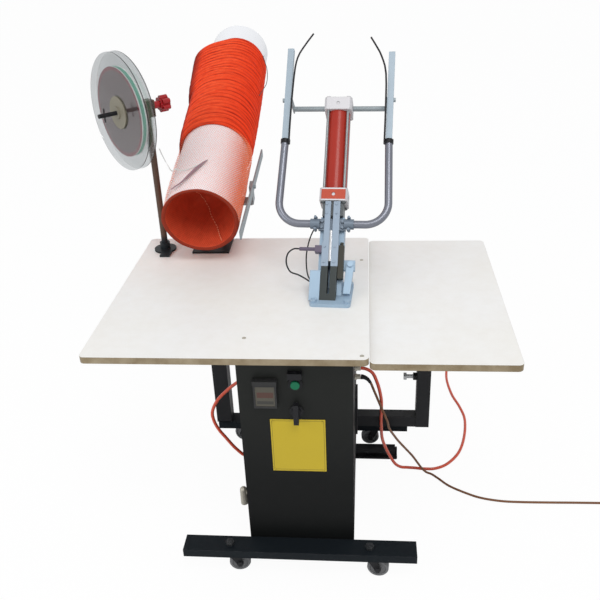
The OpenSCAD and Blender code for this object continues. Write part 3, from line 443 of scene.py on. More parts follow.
def everyday(name, colour, tint=None, rough=0.45, metal=0.0, wear=None, radius=0.0012, grain_scale=500.0,
             grain_depth=0.12, drift_scale=7.0, coat=0.0, rough_spread=0.14, gloss=0.3):
    material, tree, surface = shader(name)
    tint = tint or tuple(c * 0.72 for c in colour)
    bare = wear or tuple(min(1, c * 1.5 + 0.05) for c in colour)
    colours = place(tree, drift, Colour=rgb(colour), Tint=rgb(tint), Scale=drift_scale, Amount=0.35)
    edges = place(tree, worn, Radius=radius, Amount=0.5)
    specks = place(tree, grain, Scale=grain_scale, Strength=grain_depth)
    tree.links.new(edges.outputs["Normal"], specks.inputs["Normal"])
    paint = mix_colour(tree, edges.outputs["Mask"], colours.outputs["Color"], rgb(bare))
    spread = times(tree, specks.outputs["Value"], rough_spread)
    shine = plus(tree, spread, rough - rough_spread / 2)
    fill(tree, surface, Base_Color=paint, Roughness=shine, Normal=specks.outputs["Normal"],
         Metallic=metal, Coat_Weight=coat, Specular_IOR_Level=gloss)
    return material


def dress(material, *names):
    for name in names:
        mesh = nodes_3d[name].data
        mesh.materials.clear()
        mesh.materials.append(material)


print("recipe ready")

# %% [markdown]
# The frame's record gives each node a material slot. This table has one finish for each slot, with
# its colour first and then only the numbers that differ from the recipe's own.

# %% One finish for each material slot
finishes = {
    "beam_steel": everyday("navy_black_beams", (0.0055, 0.0085, 0.0115), wear=(0.09, 0.09, 0.10),
        rough=0.6, grain_depth=0.2, gloss=0.15),
    "zinc": everyday("zinc_fittings", (0.40, 0.41, 0.42), rough=0.34, metal=0.8, radius=0.0006,
        grain_scale=900),
    "black_paint": everyday("black_brackets", (0.014, 0.014, 0.016), wear=(0.14, 0.14, 0.14), rough=0.45,
        gloss=0.2),
    "castor_tread": everyday("grey_castor_wheels", (0.16, 0.16, 0.165), tint=(0.08, 0.08, 0.08), rough=0.6),
    "cabinet_paint": everyday("charcoal_cabinet", (0.017, 0.018, 0.016), tint=(0.010, 0.011, 0.010),
        wear=(0.09, 0.09, 0.09), rough=0.5, grain_scale=1400, grain_depth=0.25, drift_scale=3.0, gloss=0.15),
    "black_plastic": everyday("black_plastic", (0.012, 0.012, 0.014), rough=0.4, radius=0.0006, gloss=0.2),
    "green_plastic": everyday("green_button", (0.001, 0.14, 0.062), rough=0.3, coat=0.1, radius=0.001,
        gloss=0.2),
    "brass": everyday("pale_drain_fittings", (0.50, 0.47, 0.40), rough=0.35, metal=0.5, radius=0.0005),
    "fitting_grey": everyday("grey_valves", (0.42, 0.44, 0.46), rough=0.4, metal=0.6),
    "post_brown": everyday("brown_grey_post", (0.115, 0.070, 0.050), tint=(0.055, 0.042, 0.036),
        rough=0.42, metal=0.3, gloss=0.2),
    "knob_red": everyday("red_star_knob", (0.38, 0.006, 0.010), rough=0.25, coat=0.3, radius=0.002,
        gloss=0.3),
    "hub_beige": everyday("beige_hub", (0.22, 0.20, 0.15), tint=(0.15, 0.135, 0.10), rough=0.45),
    "steel_grey": everyday("grey_steel", (0.30, 0.34, 0.36), tint=(0.2, 0.23, 0.25), rough=0.42, metal=0.3),
    "light_blue": everyday("light_blue_casting", (0.34, 0.46, 0.58), tint=(0.24, 0.32, 0.41),
        wear=(0.62, 0.68, 0.72), rough=0.42, metal=0.15),
    "dark_steel": everyday("dark_die_steel", (0.035, 0.042, 0.042), wear=(0.25, 0.25, 0.25), rough=0.4,
        metal=0.4),
    "rail_steel": everyday("rail_steel", (0.27, 0.335, 0.415), tint=(0.19, 0.24, 0.30),
        wear=(0.5, 0.56, 0.62), rough=0.4, metal=0.15),
    "cap_alu": everyday("pale_end_caps", (0.60, 0.585, 0.605), tint=(0.50, 0.50, 0.51),
        wear=(0.40, 0.43, 0.41), rough=0.4, metal=0.15, radius=0.0015),
    "chrome": everyday("polished_rod", (0.70, 0.71, 0.73), rough=0.12, metal=1.0, rough_spread=0.05,
        grain_depth=0.02),
    "channel_alu": everyday("blue_grey_channels", (0.36, 0.43, 0.49), tint=(0.28, 0.34, 0.40),
        wear=(0.45, 0.52, 0.58), rough=0.42, metal=0.15, radius=0.001),
    "mag_zinc": everyday("lilac_grey_tubes", (0.215, 0.225, 0.265), tint=(0.14, 0.15, 0.18), rough=0.34,
        metal=0.6, radius=0.001),
    "sensor_body": everyday("purple_grey_sensor", (0.12, 0.095, 0.14), rough=0.4),
    "olive": everyday("olive_knife_cylinder", (0.030, 0.030, 0.022), wear=(0.2, 0.2, 0.16), rough=0.45),
}
for part in frame["record"]["subparts"]:
    if part["material_slot"] in finishes:
        dress(finishes[part["material_slot"]], part["node"])
print("everyday finishes:", len(finishes))

# %% [markdown]
# Some pieces differ from the rest of their slot. The cabinet is painted darker towards the floor,
# as painted shade under the table, and the reel's post stands on a dark foot, both by a mask that grows
# below a level. The bolts, the tie rods and the yoke get a finish of their own.

# %% Pieces that differ from their slot
def below(material, level, sharpness):
    tree = material.node_tree
    depth = minus(tree, level, axes_of(tree, coordinates(tree)["Object"])["Z"])
    return times(tree, depth, sharpness, clamp=True)


cabinet = finishes["cabinet_paint"]
# painted shade: the cabinet darkens towards the floor under the table
paint_over(cabinet, below(cabinet, 0.56, 3.2), (0.0035, 0.004, 0.004))
post = finishes["post_brown"].copy()
post.name = "brown_grey_post_on_dark_foot"
paint_over(post, below(post, 0.650, 60.0), (0.022, 0.026, 0.030))
dress(post, "reel_stand")
dress(everyday("dark_castor_bolts", (0.030, 0.032, 0.035), wear=(0.2, 0.2, 0.2), rough=0.45, metal=0.3),
      "castor_mounts")
dress(everyday("dull_tie_rods", (0.27, 0.29, 0.30), tint=(0.16, 0.18, 0.18), rough=0.35, metal=0.5,
               radius=0.0006), "tie_rods")
dress(everyday("dark_blue_grey_yoke", (0.17, 0.21, 0.26), tint=(0.09, 0.11, 0.14), rough=0.4, metal=0.3,
               radius=0.0008), "magazine_yoke")
print("darker pieces dressed")

# %% [markdown]
# The tables are boards with a cream laminate on top and a brown edge band around. One material
# does both: the direction of the surface, taken from the board itself, says whether a point is on
# the top or on the edge. Faint handling marks and a few specks keep the laminate from looking new.

# %% Cream laminate with a brown edge
board, tree, surface = shader("cream_laminate_board")
upright = axes_of(tree, coordinates(tree)["Normal"])["Z"]
side = math_node(tree, "LESS_THAN", math_node(tree, "ABSOLUTE", upright), 0.5)
cream = place(tree, drift, Colour=rgb((0.84, 0.835, 0.825)), Tint=rgb((0.80, 0.77, 0.71)),
              Scale=3.2, Amount=0.5)
band = place(tree, drift, Colour=rgb((0.20, 0.145, 0.075)), Tint=rgb((0.42, 0.35, 0.24)),
             Scale=26.0, Amount=0.55)
marks = place(tree, drift, Colour=(0, 0, 0, 1), Tint=(1, 1, 1, 1), Scale=38.0, Amount=1.0)
edges = place(tree, worn, Radius=0.0012, Amount=0.4)
specks = place(tree, grain, Scale=1600.0, Strength=0.05)
tree.links.new(edges.outputs["Normal"], specks.inputs["Normal"])
handled = times(tree, marks.outputs["Mask"], 0.12)
top = mix_colour(tree, handled, cream.outputs["Color"], rgb((0.66, 0.60, 0.52)))
shine = plus(tree, times(tree, cream.outputs["Mask"], 0.16), 0.34)
fill(tree, surface, Base_Color=mix_colour(tree, side, top, band.outputs["Color"]), Roughness=shine,
     Normal=specks.outputs["Normal"])
dress(board, "main_table", "right_table")
print("tables dressed")

# %% [markdown]
# The counter's face is a smoked window with a faint warm band where its digits stand, and the plate
# under the buttons is plain yellow paint with a thin dark frame line, left bare. Both are drawn by
# where a point lies on the front of the cabinet, so no picture is needed.

# %% Counter face and yellow plate
def window(tree, axis_value, low, high):
    above = math_node(tree, "GREATER_THAN", axis_value, low)
    below = math_node(tree, "LESS_THAN", axis_value, high)
    return times(tree, above, below)


def front_box(tree, x0, x1, z0, z1):
    axes = axes_of(tree, coordinates(tree)["Object"])
    low, high = at(x0, 0, z0), at(x1, 0, z1)
    return times(tree, window(tree, axes["X"], low.x, high.x), window(tree, axes["Z"], low.z, high.z))


FACE, DIGITS, BUTTONS = (-83, -42, 465, 514), (-80, -45, 486, 500), (-80, -45, 470, 478)
PLATE_LEFT, PLATE_RIGHT, PLATE_LOW, PLATE_HIGH, LINE = -54, 59, 287, 420, 0.8
LINE_COLOUR = (0.1, 0.08, 0.02)
counter = everyday("counter_case", (0.030, 0.030, 0.030), rough=0.35, radius=0.0008, gloss=0.2)
for box, colour in ((FACE, (0.085, 0.078, 0.062)), (DIGITS, (0.085, 0.045, 0.036)),
                    (BUTTONS, (0.05, 0.048, 0.042))):
    paint_over(counter, front_box(counter.node_tree, *box), colour)
dress(counter, "counter")

plate = everyday("bare_yellow_plate", (0.50, 0.37, 0.026), tint=(0.44, 0.33, 0.03), rough=0.45, gloss=0.2)
for box in ((PLATE_LEFT, PLATE_RIGHT, PLATE_LOW, PLATE_LOW + LINE),
            (PLATE_LEFT, PLATE_RIGHT, PLATE_HIGH, PLATE_HIGH + LINE),
            (PLATE_LEFT, PLATE_LEFT + LINE, PLATE_LOW, PLATE_HIGH + LINE),
            (PLATE_RIGHT - LINE, PLATE_RIGHT, PLATE_LOW, PLATE_HIGH + LINE)):
    paint_over(plate, front_box(plate.node_tree, *box), LINE_COLOUR)
dress(plate, "rating_plate")
print("front dressed")

# %% [markdown]
# Hoses are extruded plastic: a clear bright colour, a soft gloss and a faint drift in colour. The air
# hose is a light, warm red, while the mains cable is a dull brown rubber.

# %% Hose and cable
hose_red = everyday("red_air_hose_plastic", (0.62, 0.070, 0.030), tint=(0.70, 0.13, 0.07), rough=0.32,
                    coat=0.25, radius=0.0003, grain_depth=0.05)
cable_brown = everyday("brown_cable_rubber", (0.19, 0.080, 0.035), tint=(0.10, 0.045, 0.025), rough=0.5,
                       radius=0.0003)
for piece in (air_hose, hose_loop):
    piece.data.materials.append(hose_red)
mains_cable.data.materials.append(cable_brown)
print("cords dressed")

# %% [markdown]
# The reel's side discs are clear plastic, so they get real transmission, a low roughness and long
# arcs of fine scratches. The tape between them shows its maroon-grey side, in rings where its
# layers end, and on its outside the tape's green middle stripe between two white ones.

# %% Clear discs and the tape roll
REEL = at(-428, 490, 980)
REEL_YAW = math.radians(44.5)
AXLE = Vector((-math.cos(REEL_YAW), -math.sin(REEL_YAW), 0))


def vector_node(tree, operation, first, second=None):
    node = tree.nodes.new("ShaderNodeVectorMath")
    node.operation = operation
    tree.links.new(first, node.inputs[0])
    if second is not None:
        node.inputs[1].default_value = second
    return node


def along_axle(tree):
    offset = vector_node(tree, "SUBTRACT", coordinates(tree)["Object"], REEL)
    along = vector_node(tree, "DOT_PRODUCT", offset.outputs[0], AXLE)
    size = vector_node(tree, "LENGTH", offset.outputs[0])
    return along.outputs["Value"], size.outputs["Value"]


clear, tree, surface = shader("clear_disc_plastic")
fill(tree, surface, Base_Color=(0.78, 0.79, 0.79, 1), Transmission_Weight=1.0, IOR=1.45)
radius = along_axle(tree)[1]
rings = math_node(tree, "SINE", times(tree, radius, 5200.0))
cloud = noise_node(tree, 24.0)
scratches = times(tree, times(tree, rings, cloud), 0.03)
tree.links.new(plus(tree, scratches, 0.07), surface.inputs["Roughness"])
dress(clear, "reel_discs")

tape, tree, surface = shader("wound_tape")
along, radius = along_axle(tree)
facing = vector_node(tree, "DOT_PRODUCT", coordinates(tree)["Normal"], AXLE)
is_side = math_node(tree, "GREATER_THAN", math_node(tree, "ABSOLUTE", facing.outputs["Value"]), 0.5)
layers = noise_node(tree, 10.0)
ring_wave = math_node(tree, "SINE", times(tree, radius, 1900.0))
fine, broad = times(tree, ring_wave, 0.25), times(tree, layers, 0.7)
ring_mask = plus(tree, fine, broad, clamp=True)
side_colour = mix_colour(tree, ring_mask, rgb((0.145, 0.072, 0.080)), rgb((0.20, 0.15, 0.138)))
rim_ring = times(tree, math_node(tree, "GREATER_THAN", radius, 0.0972), 0.9)
side_colour = mix_colour(tree, rim_ring, side_colour, rgb((0.30, 0.022, 0.045)))
stripe = math_node(tree, "LESS_THAN", math_node(tree, "ABSOLUTE", along), 0.0043)
outside = mix_colour(tree, stripe, rgb((0.80, 0.82, 0.80)), rgb((0.03, 0.34, 0.22)))
tree.links.new(mix_colour(tree, is_side, outside, side_colour), surface.inputs["Base Color"])
surface.inputs["Roughness"].default_value = 0.42
tree.links.new(bump_node(tree, ring_wave, 0.3, 0.0004).outputs["Normal"], surface.inputs["Normal"])
dress(tape, "tape_roll")
print("reel dressed")

# %% [markdown]
# The cylinder's barrel is a glossy red sleeve, left bare, and an orange strip covers the front of the
# lower cap. The strip is a mask by height along the clipper, so the cap keeps its own metal around
# it. A second mask darkens the steel neck below that cap.

# %% Red barrel and the strip on the lower cap
TOOL = at(62, 228, TABLE_TOP)
RISE, TURN = math.radians(50), math.radians(-3.5)
tool_turn = Matrix.Rotation(TURN, 3, "Z") @ Matrix.Rotation(RISE - math.pi / 2, 3, "X")


def on_tool(x, depth, along):
    return TOOL + tool_turn @ Vector((x, depth, along)) / 1000


def tool_axes(tree):
    offset = vector_node(tree, "SUBTRACT", coordinates(tree)["Object"], TOOL)
    dots = [vector_node(tree, "DOT_PRODUCT", offset.outputs[0], axis) for axis in tool_turn.col]
    return [dot.outputs["Value"] for dot in dots]


red = everyday("bare_red_sleeve", (0.36, 0.026, 0.014), tint=(0.24, 0.012, 0.008), rough=0.3, coat=0.1,
               radius=0.0005, gloss=0.25)
dress(red, "cylinder_barrel")
caps = finishes["cap_alu"].copy()
caps.name = "end_caps_with_strip"
tree = caps.node_tree
across, deep, high = tool_axes(tree)
strip = times(tree, window(tree, high, 0.2505, 0.2745), math_node(tree, "LESS_THAN", deep, 0.0006))
strip = times(tree, strip, window(tree, across, -0.029, 0.029))
paint_over(caps, strip, (0.42, 0.062, 0.030))
paint_over(caps, window(tree, high, 0.2, 0.2465), (0.10, 0.11, 0.115))
dress(caps, "cylinder_caps")
print("clipper dressed")

# %% [markdown]
# The tube is white PVC pipe: slightly blue and glossy, with a slow drift in its white.

# %% PVC pipe
pvc = everyday("white_pvc_pipe", (0.88, 0.885, 0.91), tint=(0.82, 0.83, 0.86), rough=0.28, coat=0.2,
               radius=0.001, drift_scale=4.0)
dress(pvc, "pvc_tube")
print("pipe dressed")

# %% [markdown]
# ## The knitted net
# The net is a tube of thin orange-red knit. Most of it is gathered on the pipe in tight folds, and
# a single layer is drawn forward over the mouth and tucked in. Modelling each strand would take
# millions of faces, so a shader group draws the knit: two sets of slanted strands with a knot
# where they meet, in units of one mesh cell. The mask becomes the material's alpha.

# %% Knit as a shader group
knit, given, made = group("knit_strands", [("Vector", VECTOR, None), ("Cover", FLOAT, 0.3)],
                          [("Mask", FLOAT), ("Height", FLOAT)])
cell = axes_of(knit, given.outputs["Vector"])


def strand(tree, across, along, direction):
    lean = times(tree, along, direction)
    wave = math_node(tree, "PINGPONG", plus(tree, across, lean), 0.5)
    return times(tree, wave, 2.0)


left, right = strand(knit, cell["X"], cell["Y"], 0.5), strand(knit, cell["X"], cell["Y"], -0.5)
near = math_node(knit, "MINIMUM", left, right)
inside = minus(knit, given.outputs["Cover"], near)
knit.links.new(times(knit, inside, 14.0, clamp=True), made.inputs["Mask"])
knit.links.new(minus(knit, 1.0, near), made.inputs["Height"])
print("knit group ready")

# %% [markdown]
# A net wraps a pipe that rises to the back, so one function gives a point by its distance from the
# pipe's axis, its angle round it and how far it lies behind the mouth. An angle of 0 is on top.

# %% The pipe's own coordinates
PIPE_R, PIPE_WALL = 90, 4.5
PIPE_YAW, PIPE_RISE = math.radians(0.8), math.radians(15.7)
pipe_turn = Matrix.Rotation(PIPE_YAW, 3, "Z") @ Matrix.Rotation(PIPE_RISE - math.pi / 2, 3, "X")
MOUTH = at(-254, 425, 730)


def on_pipe(radius, angle, behind):
    local = Vector((radius * math.sin(angle), -radius * math.cos(angle), behind))
    return MOUTH + pipe_turn @ local / 1000


def lofted(name, rows, cells=(1.0, 1.0), body="net_tube", marks=None):
    mesh = bpy.data.meshes.new(name)
    count = len(rows[0])
    faces = []
    for i in range(len(rows) - 1):
        for k in range(count):
            n = (k + 1) % count
            faces.append((i * count + k, i * count + n, (i + 1) * count + n, (i + 1) * count + k))
    mesh.from_pydata([p for row in rows for p in row], [], faces)
    layer = mesh.uv_layers.new(name="cells")
    for face in mesh.polygons:
        i, k = divmod(face.index, count)
        for corner, (di, dk) in zip(face.loop_indices, ((0, 0), (0, 1), (1, 1), (1, 0))):
            layer.data[corner].uv = ((k + dk) * cells[0], (i + di) * cells[1])
    # marks: values kept per point in a second map; the stock keeps its painted fold shade there
    if marks:
        second = mesh.uv_layers.new(name="folds")
        for corner in mesh.loops:
            second.data[corner.index].uv = (marks[corner.vertex_index], 0)
    for face in mesh.polygons:
        face.use_smooth = True
    piece = add_object(name, mesh)
    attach(piece, body)
    return piece


def area_of(piece):
    return sum(face.area for face in piece.data.polygons)


print("mouth of the pipe:", [round(v, 3) for v in MOUTH])

# %% [markdown]
# The gathered stock is a sleeve of fine folds, one every 7 mm or so, each a little askew. It is thin
# on the right and thicker on the left, where it sags, and the rear part of its left side hangs away
# from the pipe as a loose cuff with a step at its front. Sine waves with drifting phases give folds
# that never repeat quite the same, with nothing random in them.

# %% Gathered stock
AROUND, START, END, STOCK_ROWS = 200, 292, 800, 355
FOLD_PITCH, BROAD_PITCH = 7.3, 19.0
ROUND_PIPE = angles_round(AROUND)


def steps(s, *stops):
    for (s0, v0), (s1, v1) in zip(stops, stops[1:]):
        if s <= s1:
            return v0 + (v1 - v0) * max(0.0, (s - s0) / (s1 - s0))
    return stops[-1][1]


def stock_height(s, a):
    even = steps(s, (292, 3.0), (340, 8.0), (450, 9.0), (600, 7.5), (800, 4.0))
    sag = steps(s, (292, 7.0), (435, 9.0), (558, 12.0), (562, 20.0), (620, 29.0), (700, 37.0), (800, 47.0))
    return even + sag * max(0.0, math.cos(a + 1.75)) ** 2


def fold(s, a):
    tilt = 5.0 * math.sin(a + 0.6) + 2.4 * math.sin(2 * a + s / 90.0)
    wave = math.sin((s + tilt) * 2 * math.pi / FOLD_PITCH + 1.3 * math.sin(s / 23.0))
    wide = math.sin((s - tilt) * 2 * math.pi / BROAD_PITCH + 2.0 * math.sin(a * 2))
    return 0.9 * wave + 0.4 * wide + 0.25 * math.sin(9 * a + s / 7.0)


# painted shade along the folds: darker in their valleys and along fine crease lines, kept per point
def fold_crease_shade(s, a):
    tilt = 6.0 * math.sin(a + 0.6) + 3.0 * math.sin(2 * a + s / 90.0)
    line = 0.5 + 0.5 * math.sin((s + tilt) * 2 * math.pi / 18.5 + 1.6 * math.sin(s / 31.0 + a))
    other = 0.5 + 0.5 * math.sin((s - tilt) * 2 * math.pi / 26.0 + 2.2 * math.sin(s / 19.0 - 2 * a))
    return max(0.0, min(1.0, 0.80 + 0.12 * fold(s, a) - 0.34 * line ** 5 - 0.22 * other ** 7))


def pressed_row(s):
    return [on_pipe(PIPE_R + 0.4, a, s) for a in ROUND_PIPE]


# the pressed end rows get deep painted shade where the stock meets the pipe
DARK_ROW = [0.1] * AROUND
stock_rows, fold_crease_shades = [pressed_row(START)], list(DARK_ROW)
for i in range(STOCK_ROWS):
    s = START + (END - START) * i / (STOCK_ROWS - 1)
    stock_rows.append([on_pipe(PIPE_R + stock_height(s, a) + fold(s, a), a, s + 2.5 * math.sin(a * 3))
                       for a in ROUND_PIPE])
    fold_crease_shades += [fold_crease_shade(s, a) for a in ROUND_PIPE]
stock_rows.append(pressed_row(END))
fold_crease_shades += DARK_ROW
stock = lofted("gathered_net", stock_rows, cells=(1.0, 0.8), marks=fold_crease_shades)
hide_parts("net_sleeve")
print("gathered net: %d faces, %.3f m2" % (len(stock.data.polygons), area_of(stock)))

# %% [markdown]
# The single layer starts under the stock, runs to the mouth, turns over its rim and goes back into
# the pipe as a closed pouch, which is how the net waits to be filled. It stands off the pipe in
# small wrinkles, more at the sides than on top. A line of small pale knots runs up the pouch.

# %% Single layer and pouch
def layer_row(radius, s, wrinkle, slack=0.0):
    slack *= 0.5 + 0.5 * min(1.0, max(0.0, s / 120.0))
    row = []
    for a in ROUND_PIPE:
        waves = math.sin(7 * a + s / 19.0) + 0.6 * math.sin(15 * a - s / 11.0)
        row.append(on_pipe(radius + slack * (1 - max(0.0, math.cos(a + 0.1))) + wrinkle * waves, a, s))
    return row


UNDER_STOCK, SKIN_ROWS, OFF_PIPE, SLACK = 296, 61, 1.6, 7.0
SKIN_CELL = 0.54
skin_rows = [layer_row(PIPE_R + OFF_PIPE, UNDER_STOCK * (1 - i / (SKIN_ROWS - 1)), 0.45, SLACK)
             for i in range(SKIN_ROWS)]
skin = lofted("single_net_layer", skin_rows, cells=(SKIN_CELL, 0.95))

BORE_R, POUCH_DEPTH, POUCH_ROWS, POUCH_CELL = PIPE_R - PIPE_WALL, 150, 46, 0.5


def in_pouch(t, a, gap=0.0):
    reach = max(0.02, math.cos(t * math.pi / 2)) ** 0.55
    wide = (BORE_R - 1.5 - gap) * reach * (1 - 0.05 * t * math.sin(11 * a))
    sag = 26 * t * t * (1 - reach)
    depth = 2 + POUCH_DEPTH * math.sin(t * math.pi / 2)
    return MOUTH + pipe_turn @ Vector((wide * math.sin(a), sag - wide * math.cos(a), depth)) / 1000


over_rim = ((PIPE_R + OFF_PIPE, -0.6, 0.3, SLACK), (PIPE_R + 0.6, -2.2, 0.3, 6.0),
            (PIPE_R - 1.5, -2.6, 0.2, 3.0), (BORE_R - 1.2, -1.6, 0.2))
pouch_rows = [layer_row(*row) for row in over_rim]
for i in range(POUCH_ROWS):
    pouch_rows.append([in_pouch(i / (POUCH_ROWS - 1), a) for a in ROUND_PIPE])
pouch = lofted("net_pouch_in_mouth", pouch_rows, cells=(POUCH_CELL, 1.0))

seam = [(0.86, 252), (0.87, 220), (0.72, 189), (0.50, 177), (0.30, 163), (0.15, 156), (0.02, 148)]
knot_rows = []
for i, (t, angle) in enumerate(smooth(seam, 20)):
    middle = in_pouch(t, math.radians(angle), 1.6)
    thick = 0.0002 + 0.0017 * math.sin(i * math.pi / 5) ** 4
    knot_rows.append([middle + thick * (pipe_turn.col[0] * math.cos(a) + pipe_turn.col[1] * math.sin(a))
                      for a in angles_round(8)])
knot_line = lofted("knots_in_the_mouth", knot_rows)
print("single layer %.3f m2, pouch %.3f m2" % (area_of(skin), area_of(pouch)))

# %% [markdown]
# All three use the same knit with different cover. On the stock the folds lie so close that hardly
# any gap is left, so the knit only paints shade into its valleys; the stock also gets a painted
# highlight on top and painted shade on its left side. On the single layer the strands are fine
# and the pipe shines through, less so at the sides and below, where the net hangs closer together.

# %% Net materials
LIT_KNIT, SHADED_KNIT = (0.95, 0.24, 0.09), (0.119, 0.0035, 0.00105)


def marked(tree, name):
    node = tree.nodes.new("ShaderNodeUVMap")
    node.uv_map = name
    return node.outputs[0]


def net_finish(name, colour, deep, around, bump_size, cover=0.9, side_cover=0.9,
               see_through=False, folded=False):
    material, tree, surface = shader(name)
    cells = marked(tree, "cells")
    angle = times(tree, axes_of(tree, cells)["X"], 2 * math.pi / around)
    turn = math_node(tree, "MAXIMUM", math_node(tree, "COSINE", plus(tree, angle, 0.24)), 0.0)
    aside = math_node(tree, "POWER", minus(tree, 1.0, turn), 2.0)
    strands = place(tree, knit, Vector=cells, Cover=plus(tree, times(tree, aside, side_cover - cover), cover))
    cloud = noise_node(tree, 55.0, 4.0)
    shade = plus(tree, times(tree, strands.outputs["Height"], 0.45), times(tree, cloud, 0.6))
    shade = times(tree, shade, 1.25, clamp=True)
    if folded:
        # painted shade in the folds' creases, read back from the per-point values
        depth = axes_of(tree, marked(tree, "folds"))["X"]
        ridge = minus(tree, times(tree, depth, 1.7), 0.35, clamp=True)
        shade = times(tree, plus(tree, times(tree, shade, 0.45), 0.55), ridge, clamp=True)
    bump = bump_node(tree, strands.outputs["Height"], 0.5, bump_size)
    fill(tree, surface, Base_Color=mix_colour(tree, shade, rgb(deep), rgb(colour)), Roughness=0.6,
         Specular_IOR_Level=0.12, Normal=bump.outputs["Normal"])
    if see_through:
        fill(tree, surface, Alpha=strands.outputs["Mask"])
    if folded:
        lit = times(tree, times(tree, math_node(tree, "POWER", turn, 3.0), cloud), shade)
        paint_over(material, times(tree, lit, 0.42, clamp=True), LIT_KNIT)
        left = math_node(tree, "SINE", plus(tree, angle, math.pi))
        paint_over(material, times(tree, minus(tree, left, 0.80), 5.0, clamp=True), SHADED_KNIT)
    return material


POUCH_AROUND = AROUND * POUCH_CELL
for piece, name, colour, deep, values in (
        (stock, "gathered_knit", (0.92, 0.052, 0.008), (0.34, 0.010, 0.003),
         dict(around=AROUND, bump_size=0.0006, folded=True)),
        (skin, "single_knit", (0.93, 0.20, 0.085), (0.85, 0.13, 0.05),
         dict(around=AROUND * SKIN_CELL, bump_size=0.0002, cover=0.11, side_cover=0.58, see_through=True)),
        # painted shade: the pouch inside the mouth, and more so the rim turning over into it, are darker
        # copies of the knit
        (pouch, "pouch_knit_painted_shade", (0.66, 0.085, 0.035), (0.30, 0.030, 0.012),
         dict(around=POUCH_AROUND, bump_size=0.0008)),
        (pouch, "rim_knit_painted_shade", (0.30, 0.034, 0.014), (0.14, 0.014, 0.007),
         dict(around=POUCH_AROUND, bump_size=0.0004))):
    piece.data.materials.append(net_finish(name, colour, deep, **values))
for face in pouch.data.polygons[:3 * AROUND]:
    face.material_index = 1
knot_line.data.materials.append(everyday("pale_knots", (0.80, 0.30, 0.18), tint=(0.7, 0.2, 0.1), rough=0.6,
                                         radius=0.0001, gloss=0.1))
print("net dressed")

# %% [markdown]
# The clipper's two thin leads are curves, like the hoses, in the clipper's own coordinates. So is
# the thin wire loop that stands off the right side of the net, in the pipe's coordinates.

# %% Leads and wire loop
black_rubber = everyday("black_lead_rubber", (0.016, 0.016, 0.018), rough=0.5, radius=0.0002, gloss=0.2)
SENSOR_LEAD = [(-72, 7, 131), (-86, 6, 130), (-98, 4, 118), (-100, 2, 96), (-90, 4, 76), (-72, 8, 70),
               (-58, 14, 64), (-46, 22, 58)]
CYLINDER_LEAD = [(-34, 26, 205), (-40, 22, 190), (-52, 24, 160), (-58, 26, 120), (-54, 32, 80), (-44, 34, 60)]
for name, route, wide in (("sensor_lead", SENSOR_LEAD, 3.6), ("cylinder_lead", CYLINDER_LEAD, 3.2)):
    line = [on_tool(*p) for p in smooth(route, 6)]
    lead = tube_along(name, line, wide)
    lead.data.materials.append(black_rubber)
    print(name, round(length_of(line), 3), "m")
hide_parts("clipper_leads")
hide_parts("clipper_leads")

WIRE_LOOP = [(96.5, 70, 800), (101, 66, 765), (109, 76, 722), (109, 84, 668), (105, 80, 612), (98.5, 76, 562)]
wire = tube_along("thin_wire_loop", [on_pipe(r, math.radians(a), s) for r, a, s in smooth(WIRE_LOOP, 6)], 2.0,
                  "net_tube")
wire.data.materials.append(finishes["dark_steel"])

# %% [markdown]
# A strip of tape runs from the reel to the net and lies over it. Beside its end, a dark mauve strip
# lies on the net as the tape's painted shadow. A strip is a row of short edges across its line, thin but with
# two faces.

# %% Loose end of the tape and its painted shadow
def ribbon(name, middle, wide, lift, body):
    mesh = bpy.data.meshes.new(name)
    corners, faces = [], []
    for i, p in enumerate(middle):
        ahead = (middle[min(i + 1, len(middle) - 1)] - middle[max(i - 1, 0)]).normalized()
        out = lift(p).normalized()
        side = ahead.cross(out).normalized() * wide[i] / 2000
        thick = out * 0.0004
        corners += [p - side + thick, p + side + thick, p + side - thick, p - side - thick]
    for i in range(len(middle) - 1):
        for k in range(4):
            faces.append((i * 4 + k, i * 4 + (k + 1) % 4, i * 4 + 4 + (k + 1) % 4, i * 4 + 4 + k))
    last = len(middle) * 4
    faces += [(3, 2, 1, 0), (last - 4, last - 3, last - 2, last - 1)]
    mesh.from_pydata(corners, [], faces)
    piece = add_object(name, mesh)
    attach(piece, body)
    return piece


def from_pipe(p):
    behind = (p - MOUTH).dot(pipe_turn.col[2])
    return p - MOUTH - pipe_turn.col[2] * behind


def on_net(*picked):
    return [on_pipe(r, math.radians(a), s) for r, a, s in smooth(picked, 5)]


across = on_net((99, -46, 118), (94.6, -34, 98), (93, -21, 88), (93, -9, 94), (93.4, 3, 106), (94.4, 9, 118))
# route of the dark mauve strip: the tape's painted shadow on the net
back = on_net((95.2, 9, 118), (95.6, 0, 94), (95.6, -12, 58), (97, -24, 28), (98.5, -39, 20))
off_reel, below_reel = at(-356, 508, 884), at(-338, 500, 846)
free = [Vector(between(off_reel, off_reel, below_reel, across[0], t / 8)) for t in range(8)]
free += [below_reel.lerp(across[0], t / 8) - Vector((0, 0, 0.010 * math.sin(math.pi * t / 8)))
         for t in range(9)]
TAPE_EDGE, TAPE_SHADOW_WIDE, SHADOW_WIDENING_ROWS = 3.0, 9.0, 9
widening = [1.5 + 7.5 * math.sin(math.pi * i / SHADOW_WIDENING_ROWS / 2) for i in range(SHADOW_WIDENING_ROWS)]
narrowing = [TAPE_SHADOW_WIDE - 5.0 * i / (len(back) - SHADOW_WIDENING_ROWS) for i in range(len(back) - SHADOW_WIDENING_ROWS)]
white_tape = everyday("pale_tape_end", (0.74, 0.74, 0.72), tint=(0.60, 0.62, 0.60), rough=0.4, radius=0.0002)
